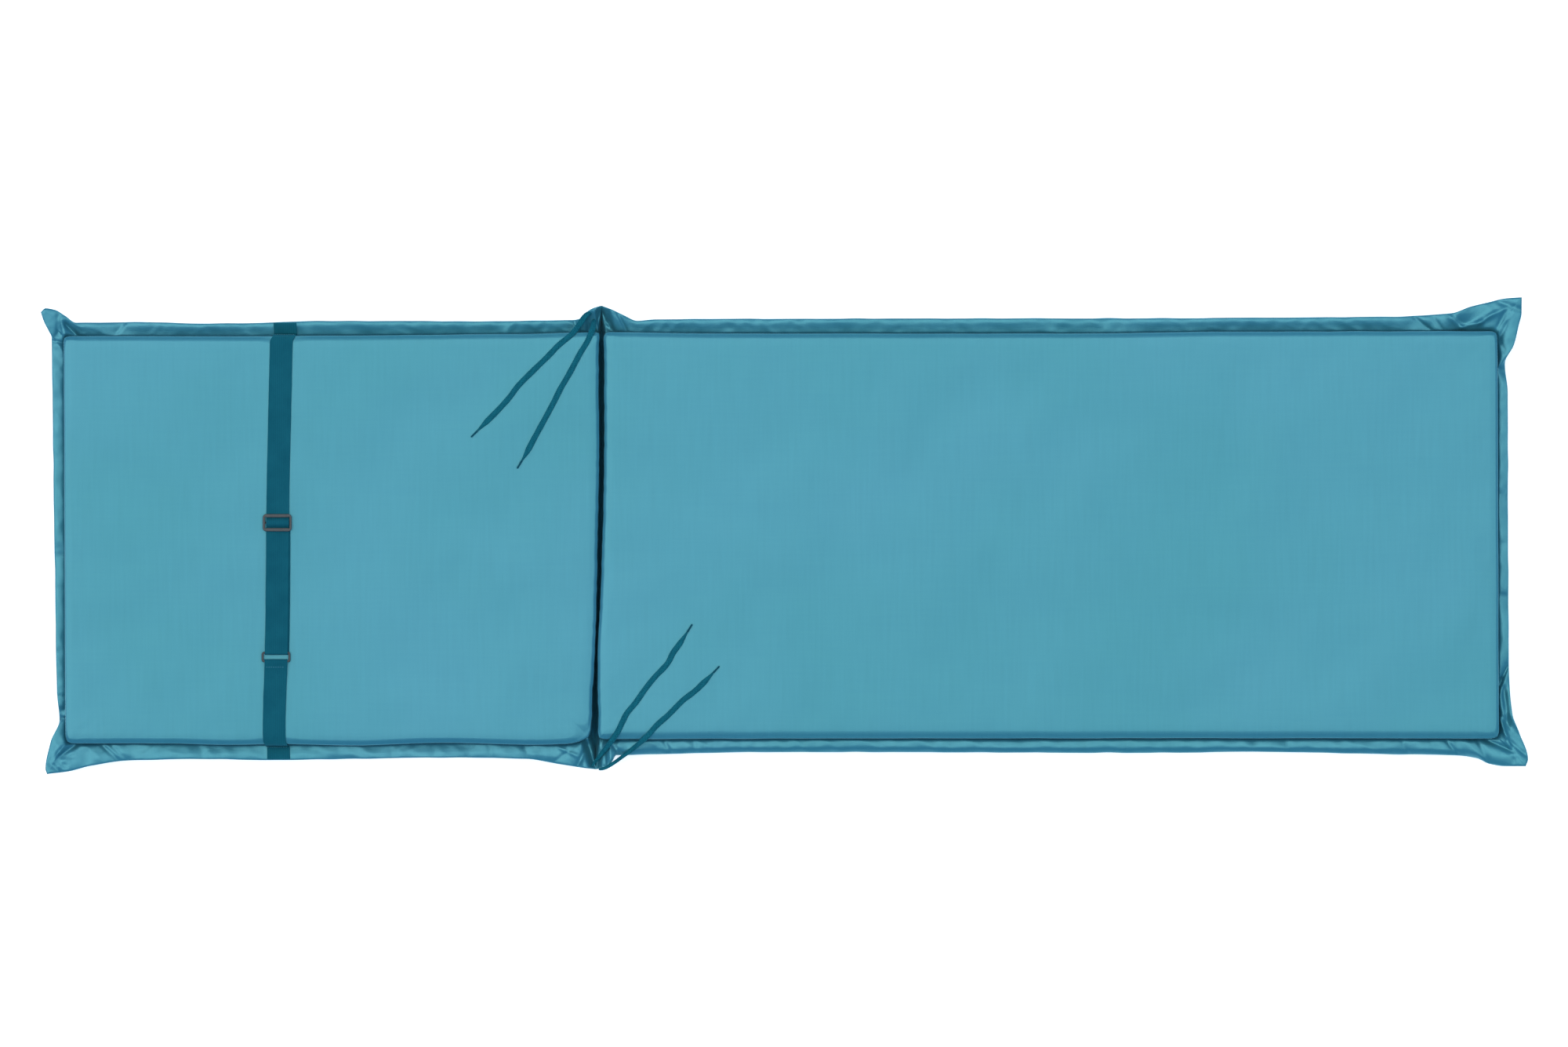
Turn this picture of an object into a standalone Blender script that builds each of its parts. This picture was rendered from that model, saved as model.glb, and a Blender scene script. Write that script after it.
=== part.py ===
"""Sun lounger cushion, lying flat on its sitting side with the strap side up.

A back pad and a longer seat pad share one cover and hinge on a sewn fold. Past the seam at mid height, the
two layers of the cover go on as a standing hem, which flares into an ear at each corner and a peak at each
end of the fold. A webbing strap with a slide and a ring crosses the back pad, and a pair of flat laces is
sewn to each peak.

Metres, +X towards the foot end, +Y to the left of someone who looks that way, +Z up. The tables are in
millimetres. The origin lies on the floor, below the middle of the whole cushion.
"""

import math

import bmesh
import bpy
from mathutils import Vector
from mathutils.bvhtree import BVHTree
from mathutils.geometry import delaunay_2d_cdt

MM = 0.001

# Gap between pieces that touch
GAP = 0.3

# Heights of the pads and of the hem
FACE_HEIGHT = 50.0
SEAM_HEIGHT = 24.0
HEM_THICKNESS = 2.0
HEM_CREST = 8.0
HEM_ROLL = 2.0
CREST_PLACE = 0.78

# Section of a pad, from the seam up to the face: how far in from the pad's edge, height
UPPER_SECTION = (
    (4.0, SEAM_HEIGHT),
    (0.0, 36.0),
    (2.2, 43.5),
    (8.0, 47.6),
    (34.0, 49.6),
)

# Section of a pad, from the seam down to the flat sole: how far in from the pad's edge, height
LOWER_SECTION = (
    (4.0, SEAM_HEIGHT - HEM_THICKNESS),
    (0.0, 11.0),
    (8.0, 0.0),
)

# Rings across the hem, as shares of its width from the seam
HEM_RINGS = (1.0, CREST_PLACE, 0.38)

# The pads' corners from above: x, y, corner radius, from the left side's head end on
BACK_CORNERS = (
    (-918.0, 254.5, 6.0),
    (-234.2, 260.0, 6.0),
    (-241.7, -264.0, 24.0),
    (-915.0, -265.0, 8.0),
)
SEAT_CORNERS = (
    (-230.8, 260.0, 6.0),
    (910.0, 261.0, 7.0),
    (912.0, -259.0, 8.0),
    (-238.2, -260.0, 8.0),
)
INWARD = ((1, -1), (-1, -1), (-1, 1), (1, 1))

# Waver of the pads' sides: share of the side's length, how far it stands out there
STRAIGHT = ((0.0, 0.0), (1.0, 0.0))
BACK_LEFT_WAVER = ((0.0, 0.0), (0.41, -2.0), (0.54, -2.0), (0.83, -1.9), (1.0, 0.0))
BACK_RIGHT_WAVER = ((0.0, 0.0), (0.11, 2.4), (0.28, 0.0), (0.45, 3.0), (0.60, 1.5), (0.72, 2.5), (1.0, 0.0))
SEAT_LEFT_WAVER = ((0.0, 0.0), (0.12, -2.2), (0.55, -2.5), (0.68, -0.3), (1.0, 0.0))
SEAT_RIGHT_WAVER = ((0.0, 0.0), (0.10, -0.6), (0.50, -0.9), (0.90, -0.6), (1.0, 0.0))

# The hem's outline, with its ears, notches and peaks: place along the side, place across it
LEFT_PEAK = (-233.0, 293.5)
RIGHT_PEAK = (-240.0, -298.0)
BACK_LEFT_HEM = (
    (-948.0, 285.0),
    (-942.0, 290.0),
    (-930.0, 288.0),
    (-917.0, 280.5),
    (-903.0, 271.5),
    (-876.0, 272.0),
    (-810.0, 272.5),
    (-750.0, 270.5),
    (-690.0, 271.0),
    (-570.0, 274.0),
    (-390.0, 273.5),
    (-270.0, 275.0),
    (-260.0, 277.0),
    (-252.0, 285.0),
    (-244.0, 290.0),
    LEFT_PEAK,
)
SEAT_LEFT_HEM = (
    LEFT_PEAK,
    (-220.0, 288.5),
    (-204.0, 281.0),
    (-187.0, 274.0),
    (-164.0, 276.0),
    (100.0, 277.0),
    (500.0, 277.5),
    (780.0, 279.5),
    (852.0, 284.0),
    (876.0, 292.0),
    (900.0, 298.0),
    (920.0, 302.5),
    (941.0, 304.0),
)
FOOT_HEM = (
    (304.0, 941.0),
    (285.0, 940.0),
    (267.0, 936.0),
    (243.0, 930.0),
    (220.0, 919.0),
    (183.0, 922.0),
    (-97.0, 923.0),
    (-172.0, 924.0),
    (-227.0, 928.0),
    (-251.0, 937.0),
    (-285.0, 948.0),
    (-294.0, 946.0),
)
SEAT_RIGHT_HEM = (
    (946.0, -294.0),
    (920.0, -293.5),
    (900.0, -290.0),
    (884.0, -283.0),
    (852.0, -279.0),
    (780.0, -278.0),
    (600.0, -275.0),
    (460.0, -276.0),
    (0.0, -275.0),
    (-170.0, -278.5),
    (-204.0, -279.5),
    (-214.0, -280.0),
    (-219.0, -288.0),
    (-226.0, -295.5),
    RIGHT_PEAK,
)
BACK_RIGHT_HEM = (
    RIGHT_PEAK,
    (-260.0, -295.0),
    (-284.0, -291.0),
    (-330.0, -284.0),
    (-410.0, -282.0),
    (-570.0, -284.0),
    (-640.0, -285.5),
    (-750.0, -284.0),
    (-840.0, -286.0),
    (-882.0, -292.0),
    (-912.0, -300.0),
    (-940.0, -304.0),
)
HEAD_HEM = (
    (-304.0, -940.0),
    (-297.0, -942.0),
    (-263.0, -935.0),
    (-235.0, -924.0),
    (-197.0, -927.0),
    (-17.0, -930.0),
    (123.0, -932.0),
    (253.0, -934.0),
    (261.0, -938.0),
    (273.0, -944.0),
    (285.0, -948.0),
)

# Ears: how far along the sides they pull the hem, and how much they lift it
EAR_REACH = 45.0
EAR_LIFT = 6.0

# Fold: its web lies below the seam, and comes up at its ends, where the hem dips on the fold's line and
# stands up in a soft ridge on either side of it
FOLD_DEPTH = 8.0
VALLEY_REACH = 8.0
RIDGE_HEIGHT = 7.0
RIDGE_PLACE = 17.0
RIDGE_REACH = 11.0

# Soft folds of the hem: side, place along it, reach, height at the outer edge
HEM_FOLDS = (
    ("back_left", -852.0, 16.0, -3.0),
    ("back_left", -560.0, 30.0, 2.0),
    ("back_left", -320.0, 24.0, 2.5),
    ("seat_left", 60.0, 40.0, 1.5),
    ("seat_left", 420.0, 50.0, -1.5),
    ("seat_left", 815.0, 18.0, -3.5),
    ("seat_left", 862.0, 15.0, 4.0),
    ("foot", 214.0, 12.0, -4.5),
    ("foot", 40.0, 20.0, -3.0),
    ("foot", -82.0, 14.0, -3.5),
    ("foot", -178.0, 18.0, -5.0),
    ("foot", -236.0, 14.0, 4.0),
    ("seat_right", 868.0, 14.0, -4.0),
    ("seat_right", 790.0, 22.0, -3.0),
    ("seat_right", 620.0, 34.0, 2.5),
    ("seat_right", 250.0, 50.0, 1.5),
    ("seat_right", -165.0, 16.0, -3.5),
    ("back_right", -300.0, 26.0, -4.0),
    ("back_right", -385.0, 20.0, -3.0),
    ("back_right", -445.0, 20.0, 2.5),
    ("back_right", -560.0, 22.0, -3.0),
    ("back_right", -835.0, 18.0, -3.5),
    ("head", -236.0, 12.0, -4.0),
    ("head", -30.0, 22.0, -2.5),
    ("head", 240.0, 14.0, -3.0),
)

# Mesh density: stretches along each side, and spacing of the points inside a face
BACK_STEPS = 32
SEAT_STEPS = 54
END_STEPS = 18
FACE_SPACING = 100.0

# Webbing, and the course of its middle line over the back pad: y, x
STRAP_WIDTH = 29.0
STRAP_THICKNESS = 1.2
STRAP_COURSE = (
    (271.0, -636.3),
    (254.0, -640.5),
    (200.0, -641.8),
    (43.0, -645.2),
    (-97.0, -646.3),
    (-155.0, -647.4),
    (-247.0, -650.0),
    (-265.0, -648.3),
    (-284.0, -644.2),
)
LEFT_EDGE = 255.0
RIGHT_EDGE = -266.7

# A strap's end, from the hem's outer edge to the face: how far out from the pad's edge, height
STRAP_END = (
    (16.4, 32.3),
    (12.6, 33.4),
    (8.5, 32.6),
    (4.4, 31.0),
    (0.8, 28.8),
    (-0.5, 28.2),
    (-1.3, 29.8),
    (1.1, 36.0),
    (-1.3, 44.1),
    (-7.6, 48.7),
    (-34.0, 50.8),
)

# Slide: a flat frame whose middle bar lies lower than its two outer bars
SLIDE_PLACE = (-646.0, 16.5)
SLIDE_SIZE = (36.9, 22.2)
SLIDE_RAIL = 3.0
SLIDE_BAR = 4.4
SLIDE_BAR_THICKNESS = 2.4
SLIDE_CORNER = 4.5
MIDDLE_BAR = (2.0, 1.6)

# Ring: round wire bent into a rectangle
RING_PLACE = (-647.5, -154.6)
RING_SIZE = (36.8, 13.6)
RING_WIRE = 2.8
SEWN_TAIL = 18.0

# Flat braided laces, and each one's route from its peak to its tip: x, y
LACE_WIDTH = 7.4
LACE_THICKNESS = 2.0
LACE_SPACING = 14.0
LACE_NARROWING = 8.0
LACE_SLOPE = 0.8
TIP_SIZE = (12.0, 3.0)
LACE_ROUTES = {
    "tie_left_outer": (
        (-245.5, 285.0),
        (-253.0, 280.5),
        (-261.5, 268.5),
        (-272.0, 255.5),
        (-287.0, 243.0),
        (-302.0, 227.5),
        (-318.0, 212.0),
        (-338.0, 192.0),
        (-351.0, 175.0),
        (-366.0, 158.5),
        (-381.0, 143.5),
        (-390.5, 134.0),
    ),
    "tie_left_inner": (
        (-242.0, 275.5),
        (-244.5, 262.0),
        (-251.0, 247.0),
        (-259.0, 234.0),
        (-266.5, 220.0),
        (-274.0, 206.0),
        (-284.5, 188.0),
        (-292.0, 173.0),
        (-301.0, 156.0),
        (-310.0, 139.5),
        (-319.0, 123.0),
        (-328.0, 106.0),
        (-334.0, 96.0),
    ),
    "tie_right_inner": (
        (-245.5, -294.5),
        (-236.0, -282.0),
        (-223.0, -266.0),
        (-213.0, -251.5),
        (-205.5, -236.5),
        (-200.0, -226.0),
        (-188.5, -212.0),
        (-177.0, -195.5),
        (-164.5, -180.0),
        (-149.0, -163.5),
        (-141.5, -149.5),
        (-132.5, -137.0),
        (-123.5, -123.0),
    ),
    "tie_right_outer": (
        (-236.0, -298.3),
        (-227.5, -296.0),
        (-217.5, -290.0),
        (-205.0, -281.0),
        (-190.0, -269.5),
        (-174.5, -255.5),
        (-162.0, -241.5),
        (-149.0, -230.0),
        (-139.0, -220.0),
        (-128.5, -209.5),
        (-113.5, -198.0),
        (-100.5, -185.5),
        (-90.5, -175.0),
    ),
}


def clear_scene():
    """Removes the scene's objects."""
    for obj in list(bpy.data.objects):
        bpy.data.objects.remove(obj)


def new_material(name, colour, roughness, metallic=0.0):
    """A Principled material of one colour."""
    mat = bpy.data.materials.new(name)
    mat.use_nodes = True
    shader = mat.node_tree.nodes["Principled BSDF"]
    shader.inputs["Base Color"].default_value = (*colour, 1.0)
    shader.inputs["Roughness"].default_value = roughness
    shader.inputs["Metallic"].default_value = metallic
    return mat


def bell(distance, reach):
    """A soft bump: 1 at no distance, and 0 from twice its reach on."""
    return max(1 - (distance / (2 * reach)) ** 2, 0.0) ** 3


def smooth_value(rows, place):
    """Reads a smooth curve through rows of (place, value) that never overshoots its rows."""
    points = sorted(rows)
    if place <= points[0][0]:
        return points[0][1]
    if place >= points[-1][0]:
        return points[-1][1]
    steps = [b[0] - a[0] for a, b in zip(points, points[1:])]
    slopes = [(b[1] - a[1]) / step for a, b, step in zip(points, points[1:], steps)]

    def tangent(k):
        if k in (0, len(slopes)):
            return slopes[min(k, len(slopes) - 1)]
        if slopes[k - 1] * slopes[k] <= 0:
            return 0.0
        return 2 * slopes[k - 1] * slopes[k] / (slopes[k - 1] + slopes[k])

    i = next(k for k, point in enumerate(points[1:]) if place <= point[0])
    t = (place - points[i][0]) / steps[i]
    first = (1 + 2 * t) * (1 - t) ** 2 * points[i][1] + t * (1 - t) ** 2 * steps[i] * tangent(i)
    second = t * t * (3 - 2 * t) * points[i + 1][1] + t * t * (t - 1) * steps[i] * tangent(i + 1)
    return first + second


def hem_section(width_share):
    """Height of the hem above the seam: it rises to its crest and rolls over past it."""
    rise = HEM_CREST * math.sin(min(width_share / CREST_PLACE, 1.0) * math.pi / 2)
    return rise - HEM_ROLL * max(width_share - CREST_PLACE, 0.0) / (1 - CREST_PLACE)


class Side:
    """One side of a pad, with the stretch of hem, or the half of the fold, that runs along it."""

    def __init__(self, name, corners, first, waver, hem, steps):
        self.name = name
        self.corners = (corners[first], corners[(first + 1) % 4])
        self.inward = (INWARD[first], INWARD[(first + 1) % 4])
        self.waver = waver
        self.hem = hem
        self.axis = first % 2
        self.steps = steps
        self.length = (Vector(self.corners[1][:2]) - Vector(self.corners[0][:2])).length
        self.is_fold = name == "fold"

    def shares(self):
        """Stations along the side as shares of its length, closer together near its ends."""
        even = [k / self.steps for k in range(self.steps)]
        return [s - 0.6 * math.sin(2 * math.pi * s) / (2 * math.pi) for s in even]

    def pad_point(self, share, inset):
        """A point of the pad's outline, inset from its edge, with the corners rounded."""
        start, end = (
            Vector((corner[0] + way[0] * inset, corner[1] + way[1] * inset))
            for corner, way in zip(self.corners, self.inward)
        )
        line = end - start
        outward = Vector((-line.y, line.x)).normalized()
        point = start + line * share + outward * smooth_value(self.waver, share)
        for corner, way, distance in zip(self.corners, self.inward, self.distances(share)):
            nearness = max(1 - distance / (1.6 * corner[2]), 0.0)
            point += Vector(way) * 0.3 * corner[2] * nearness**2
        return point

    def distances(self, share):
        """How far a station lies from the side's two corners."""
        return share * self.length, (1 - share) * self.length

    def hem_point(self, share):
        """The point of the hem's outer edge, or of the fold's middle line, beyond a station."""
        if self.is_fold:
            return Vector(self.hem[0]).lerp(Vector(self.hem[1]), share)
        place = self.pad_point(share, 0.0)[self.axis]
        for end, at in ((self.hem[0], 0.0), (self.hem[-1], 1.0)):
            slant = end[0] - self.pad_point(at, 0.0)[self.axis]
            place += slant * bell((share - at) * self.length, EAR_REACH)
        across = smooth_value(self.hem, place)
        return Vector((across, place)) if self.axis else Vector((place, across))

    def hem_lift(self, share, width_share):
        """How high the hem stands above the seam, with its ears, ridges and folds."""
        if self.is_fold:
            fold_length = math.dist(LEFT_PEAK, RIGHT_PEAK)
            near_end = bell(min(share, 1 - share) * fold_length, 2 * VALLEY_REACH)
            ridge = RIDGE_HEIGHT * bell(RIDGE_PLACE, RIDGE_REACH) * width_share
            lift = (0.25 * hem_section(width_share) + ridge) * near_end
            return lift - FOLD_DEPTH * (1 - near_end) * width_share
        lift = hem_section(width_share)
        for end, distance in zip((self.hem[0], self.hem[-1]), self.distances(share)):
            if end in (LEFT_PEAK, RIGHT_PEAK):
                lift *= 1 - 0.75 * bell(distance, VALLEY_REACH)
                lift += RIDGE_HEIGHT * bell(distance - RIDGE_PLACE, RIDGE_REACH) * width_share
            else:
                lift += EAR_LIFT * bell(distance, EAR_REACH / 2) * width_share
        place = self.hem_point(share)[self.axis]
        for side, at, reach, height in HEM_FOLDS:
            if side == self.name:
                lift += height * bell(place - at, reach) * width_share
        return lift


BACK_SIDES = (
    Side("back_left", BACK_CORNERS, 0, BACK_LEFT_WAVER, BACK_LEFT_HEM, BACK_STEPS),
    Side("fold", BACK_CORNERS, 1, STRAIGHT, (LEFT_PEAK, RIGHT_PEAK), END_STEPS),
    Side("back_right", BACK_CORNERS, 2, BACK_RIGHT_WAVER, BACK_RIGHT_HEM, BACK_STEPS),
    Side("head", BACK_CORNERS, 3, STRAIGHT, HEAD_HEM, END_STEPS),
)
SEAT_SIDES = (
    Side("seat_left", SEAT_CORNERS, 0, SEAT_LEFT_WAVER, SEAT_LEFT_HEM, SEAT_STEPS),
    Side("foot", SEAT_CORNERS, 1, STRAIGHT, FOOT_HEM, END_STEPS),
    Side("seat_right", SEAT_CORNERS, 2, SEAT_RIGHT_WAVER, SEAT_RIGHT_HEM, SEAT_STEPS),
    Side("fold", SEAT_CORNERS, 3, STRAIGHT, (RIGHT_PEAK, LEFT_PEAK), END_STEPS),
)


def pad_ring(bm, sides, inset, height):
    """A closed ring of vertices round a pad."""
    return [
        bm.verts.new((*(side.pad_point(share, inset) * MM), height * MM))
        for side in sides
        for share in side.shares()
    ]


def hem_ring(bm, sides, width_share, drop):
    """A closed ring of vertices along the hem and the fold, drop below the hem's upper face."""
    made = []
    for side in sides:
        for share in side.shares():
            seam = side.pad_point(share, UPPER_SECTION[0][0])
            flat = seam.lerp(side.hem_point(share), width_share)
            height = SEAM_HEIGHT + side.hem_lift(share, width_share) - drop
            made.append(bm.verts.new((*(flat * MM), height * MM)))
    return made


def skin(bm, outer, inner):
    """Faces between two closed rings with the same number of vertices."""
    for k, vert in enumerate(outer):
        n = (k + 1) % len(outer)
        bm.faces.new((vert, inner[k], inner[n], outer[n]))


def close_rim(bm, sides, upper, lower):
    """Joins the hem's two layers along its outer edge. The fold has no rim."""
    first = 0
    for side in sides:
        for k in range(first, first + side.steps):
            n = (k + 1) % len(upper)
            if not side.is_fold:
                bm.faces.new((upper[k], upper[n], lower[n], lower[k]))
        first += side.steps


def fill_face(bm, boundary):
    """Closes a pad's face with triangles over a coarse grid of points at its full height."""
    outline = [vert.co.xy for vert in boundary]
    low = Vector((min(p.x for p in outline), min(p.y for p in outline)))
    high = Vector((max(p.x for p in outline), max(p.y for p in outline)))
    columns = round((high.x - low.x) / (FACE_SPACING * MM))
    rows = round((high.y - low.y) / (FACE_SPACING * MM))
    grid = [
        Vector((low.x + (high.x - low.x) * i / columns, low.y + (high.y - low.y) * j / rows))
        for i in range(1, columns)
        for j in range(1, rows)
    ]
    count = len(outline)
    rim = [(k, (k + 1) % count) for k in range(count)]
    triangles = delaunay_2d_cdt(outline + grid, rim, [], 1, 1e-7)[2]
    verts = boundary + [bm.verts.new((*p, FACE_HEIGHT * MM)) for p in grid]
    for triangle in triangles:
        bm.faces.new([verts[k] for k in triangle])


def add_pad(bm, sides):
    """One pad with its stretch of hem, open only along the fold's middle line."""
    upper = [hem_ring(bm, sides, share, 0.0) for share in HEM_RINGS]
    upper += [pad_ring(bm, sides, inset, height) for inset, height in UPPER_SECTION]
    lower = [hem_ring(bm, sides, share, HEM_THICKNESS) for share in HEM_RINGS]
    lower += [pad_ring(bm, sides, inset, height) for inset, height in LOWER_SECTION]
    for rings in (upper, lower):
        for outer, inner in zip(rings, rings[1:]):
            skin(bm, outer, inner)
    close_rim(bm, sides, upper[0], lower[0])
    fill_face(bm, upper[-1])
    bm.faces.new(lower[-1])


def finish(name, bm, mat, sharp_angle=35.0):
    """Turns a bmesh into an object with its faces outward and smooth shading."""
    bmesh.ops.recalc_face_normals(bm, faces=bm.faces)
    mesh = bpy.data.meshes.new(name)
    bm.to_mesh(mesh)
    bm.free()
    mesh.shade_smooth()
    mesh.set_sharp_from_angle(angle=math.radians(sharp_angle))
    mesh.materials.append(mat)
    obj = bpy.data.objects.new(name, mesh)
    bpy.context.scene.collection.objects.link(obj)
    return obj


def make_cushion(mat):
    """Both pads as one filled solid, welded along the fold's middle line."""
    bm = bmesh.new()
    add_pad(bm, BACK_SIDES)
    add_pad(bm, SEAT_SIDES)
    bmesh.ops.remove_doubles(bm, verts=bm.verts, dist=1e-6)
    return finish("cushion", bm, mat)


# Heights of the webbing's middle and of the fittings, stacked up from the back pad's face
HALF_STRAP = STRAP_THICKNESS / 2
FIRST_LAYER = FACE_HEIGHT + 2 * GAP + HALF_STRAP
SECOND_LAYER = FIRST_LAYER + STRAP_THICKNESS + GAP
MIDDLE_BAR_WRAP = math.hypot(*MIDDLE_BAR) / 2 + GAP + HALF_STRAP
MIDDLE_BAR_HEIGHT = FIRST_LAYER + MIDDLE_BAR_WRAP
OVER_BAR = MIDDLE_BAR_HEIGHT + MIDDLE_BAR_WRAP + STRAP_THICKNESS + GAP
SLIDE_BOTTOM = FIRST_LAYER + HALF_STRAP + GAP
OUTER_BAR_BOTTOM = SECOND_LAYER + HALF_STRAP + GAP
SLIDE_TOP = OUTER_BAR_BOTTOM + SLIDE_BAR_THICKNESS
RING_WRAP = RING_WIRE / 2 + GAP + HALF_STRAP
RING_HEIGHT = FIRST_LAYER + RING_WRAP
RING_REACH = (RING_SIZE[1] - RING_WIRE) / 2


def on_course(y, height):
    """A point of the webbing's middle line."""
    return Vector((smooth_value(STRAP_COURSE, y), y, height))


def strap_end(edge, way):
    """Points from a strap's end on the hem, up over the pad's edge and onto its face."""
    return [on_course(edge + way * out, height) for out, height in STRAP_END]


def wrap(y, height, radius, start, end, steps=8):
    """Points round a bar across the strap, from one angle to another, in degrees from +Y upward."""
    angles = [math.radians(start + (end - start) * k / steps) for k in range(steps + 1)]
    return [on_course(y + radius * math.cos(a), height + radius * math.sin(a)) for a in angles]


def webbing(name, path, mat):
    """A flat strap along a path, with its width along X and its bends mitred."""
    bm = bmesh.new()
    sections = []
    for k, point in enumerate(path):
        before = (point - path[max(k - 1, 0)]).normalized()
        after = (path[min(k + 1, len(path) - 1)] - point).normalized()
        along = before + after
        upward = Vector((0.0, -along.z, along.y)).normalized()
        cosine = before.dot(after) if 0 < k < len(path) - 1 else 1.0
        lift = upward * HALF_STRAP * min(math.sqrt(2 / (1 + cosine)), 1.3)
        out = Vector((STRAP_WIDTH / 2, 0.0, 0.0))
        corners = (point - out - lift, point + out - lift, point + out + lift, point - out + lift)
        sections.append([bm.verts.new(corner * MM) for corner in corners])
    for near, far in zip(sections, sections[1:]):
        for k in range(4):
            n = (k + 1) % 4
            bm.faces.new((near[k], near[n], far[n], far[k]))
    bm.faces.new(sections[0])
    bm.faces.new(sections[-1])
    return finish(name, bm, mat)


def make_long_strap(mat):
    """From the left hem over the slide, round the ring, and back to the slide's middle bar."""
    slide_y = SLIDE_PLACE[1]
    window = SLIDE_SIZE[1] / 2 - SLIDE_BAR
    bar = RING_PLACE[1] + RING_REACH
    path = strap_end(LEFT_EDGE, 1)
    path += [on_course(y, FIRST_LAYER + 0.3) for y in (190.0, 130.0, 70.0, slide_y + 24)]
    path += [on_course(slide_y + out, SECOND_LAYER) for out in (window + SLIDE_BAR + 1.5, window - 0.6)]
    path += [on_course(slide_y + out, OVER_BAR) for out in (2.2, -2.2)]
    path += [on_course(slide_y - out, SECOND_LAYER) for out in (window - 0.6, window + SLIDE_BAR + 1.5)]
    path += [on_course(y, SECOND_LAYER + 0.2) for y in (-30.0, -80.0, -125.0)]
    path += wrap(bar, RING_HEIGHT, RING_WRAP, 90, 270)
    path += [on_course(y, FIRST_LAYER) for y in (-125.0, -80.0, -30.0, slide_y - 6)]
    path += wrap(slide_y, MIDDLE_BAR_HEIGHT, MIDDLE_BAR_WRAP, -90, 90)
    return webbing("strap_long", path, mat)


def make_short_strap(mat):
    """From the right hem to the ring, with its end turned round the ring and sewn below itself."""
    bar = RING_PLACE[1] - RING_REACH
    path = strap_end(RIGHT_EDGE, -1)
    path += [on_course(y, SECOND_LAYER) for y in (-214.0, bar - SEWN_TAIL - 4)]
    path.append(on_course(bar - 10, RING_HEIGHT + RING_WRAP - 1.6))
    path += wrap(bar, RING_HEIGHT, RING_WRAP, 90, -90)
    path.append(on_course(bar - SEWN_TAIL, FIRST_LAYER))
    return webbing("strap_short", path, mat)


def rounded_rectangle(size, corner, steps):
    """Outline of a rectangle with round corners about the origin, anticlockwise."""
    points = []
    for k, (sign_x, sign_y) in enumerate(((1, 1), (-1, 1), (-1, -1), (1, -1))):
        centre = Vector((sign_x * (size[0] / 2 - corner), sign_y * (size[1] / 2 - corner)))
        for step in range(steps + 1):
            angle = math.pi / 2 * (k + step / steps)
            points.append(centre + Vector((math.cos(angle), math.sin(angle))) * corner)
    return points


def block(name, place, outline, low, high, mat):
    """A closed block over an outline, between two heights."""
    bm = bmesh.new()
    flat = [(p + Vector(place)) * MM for p in outline]
    bottom = bm.faces.new([bm.verts.new((*p, low * MM)) for p in flat])
    top = bmesh.ops.extrude_face_region(bm, geom=[bottom])["geom"]
    raised = [item for item in top if isinstance(item, bmesh.types.BMVert)]
    bmesh.ops.translate(bm, verts=raised, vec=(0, 0, (high - low) * MM))
    return finish(name, bm, mat)


def combine(body, helper, operation):
    """Cuts a helper out of a body, or joins it on, and keeps the helper out of the model."""
    modifier = body.modifiers.new(helper.name, "BOOLEAN")
    modifier.operation = operation
    modifier.object = helper
    helper.hide_render = True
    helper.display_type = "WIRE"


def make_slide(mat):
    """Frame with a window, a way for the strap under its outer bars, and a lower middle bar."""
    inside = SLIDE_SIZE[0] - 2 * SLIDE_RAIL
    window = (inside, SLIDE_SIZE[1] - 2 * SLIDE_BAR)
    way = (inside, SLIDE_SIZE[1] + 2)
    bar = (SLIDE_SIZE[0] - SLIDE_RAIL, MIDDLE_BAR[0])
    bar_top = MIDDLE_BAR_HEIGHT + MIDDLE_BAR[1] / 2
    frame = rounded_rectangle(SLIDE_SIZE, SLIDE_CORNER, 4)
    body = block("strap_slide", SLIDE_PLACE, frame, SLIDE_BOTTOM, SLIDE_TOP, mat)
    helpers = (
        ("window", rounded_rectangle(window, 1.0, 2), SLIDE_BOTTOM - 1, SLIDE_TOP + 1, "DIFFERENCE"),
        ("way", rounded_rectangle(way, 0.5, 1), SLIDE_BOTTOM - 1, OUTER_BAR_BOTTOM, "DIFFERENCE"),
        ("middle_bar", rounded_rectangle(bar, 0.5, 1), bar_top - MIDDLE_BAR[1], bar_top, "UNION"),
    )
    for name, outline, low, high, operation in helpers:
        combine(body, block(name, SLIDE_PLACE, outline, low, high, mat), operation)
    return body


def make_ring(mat, sides=8):
    """Round wire bent into a closed rectangle."""
    size = (RING_SIZE[0] - RING_WIRE, RING_SIZE[1] - RING_WIRE)
    outline = rounded_rectangle(size, RING_WIRE * 0.7, 3)
    bm = bmesh.new()
    sections = []
    for k, point in enumerate(outline):
        along = (outline[(k + 1) % len(outline)] - outline[k - 1]).normalized()
        outward = Vector((along.y, -along.x))
        section = []
        for side in range(sides):
            angle = 2 * math.pi * (side + 0.5) / sides
            flat = Vector(RING_PLACE) + point + outward * math.cos(angle) * RING_WIRE / 2
            height = RING_HEIGHT + math.sin(angle) * RING_WIRE / 2
            section.append(bm.verts.new((*(flat * MM), height * MM)))
        sections.append(section)
    for k, section in enumerate(sections):
        skin(bm, section, sections[(k + 1) % len(sections)])
    return finish("strap_ring", bm, mat)


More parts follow.
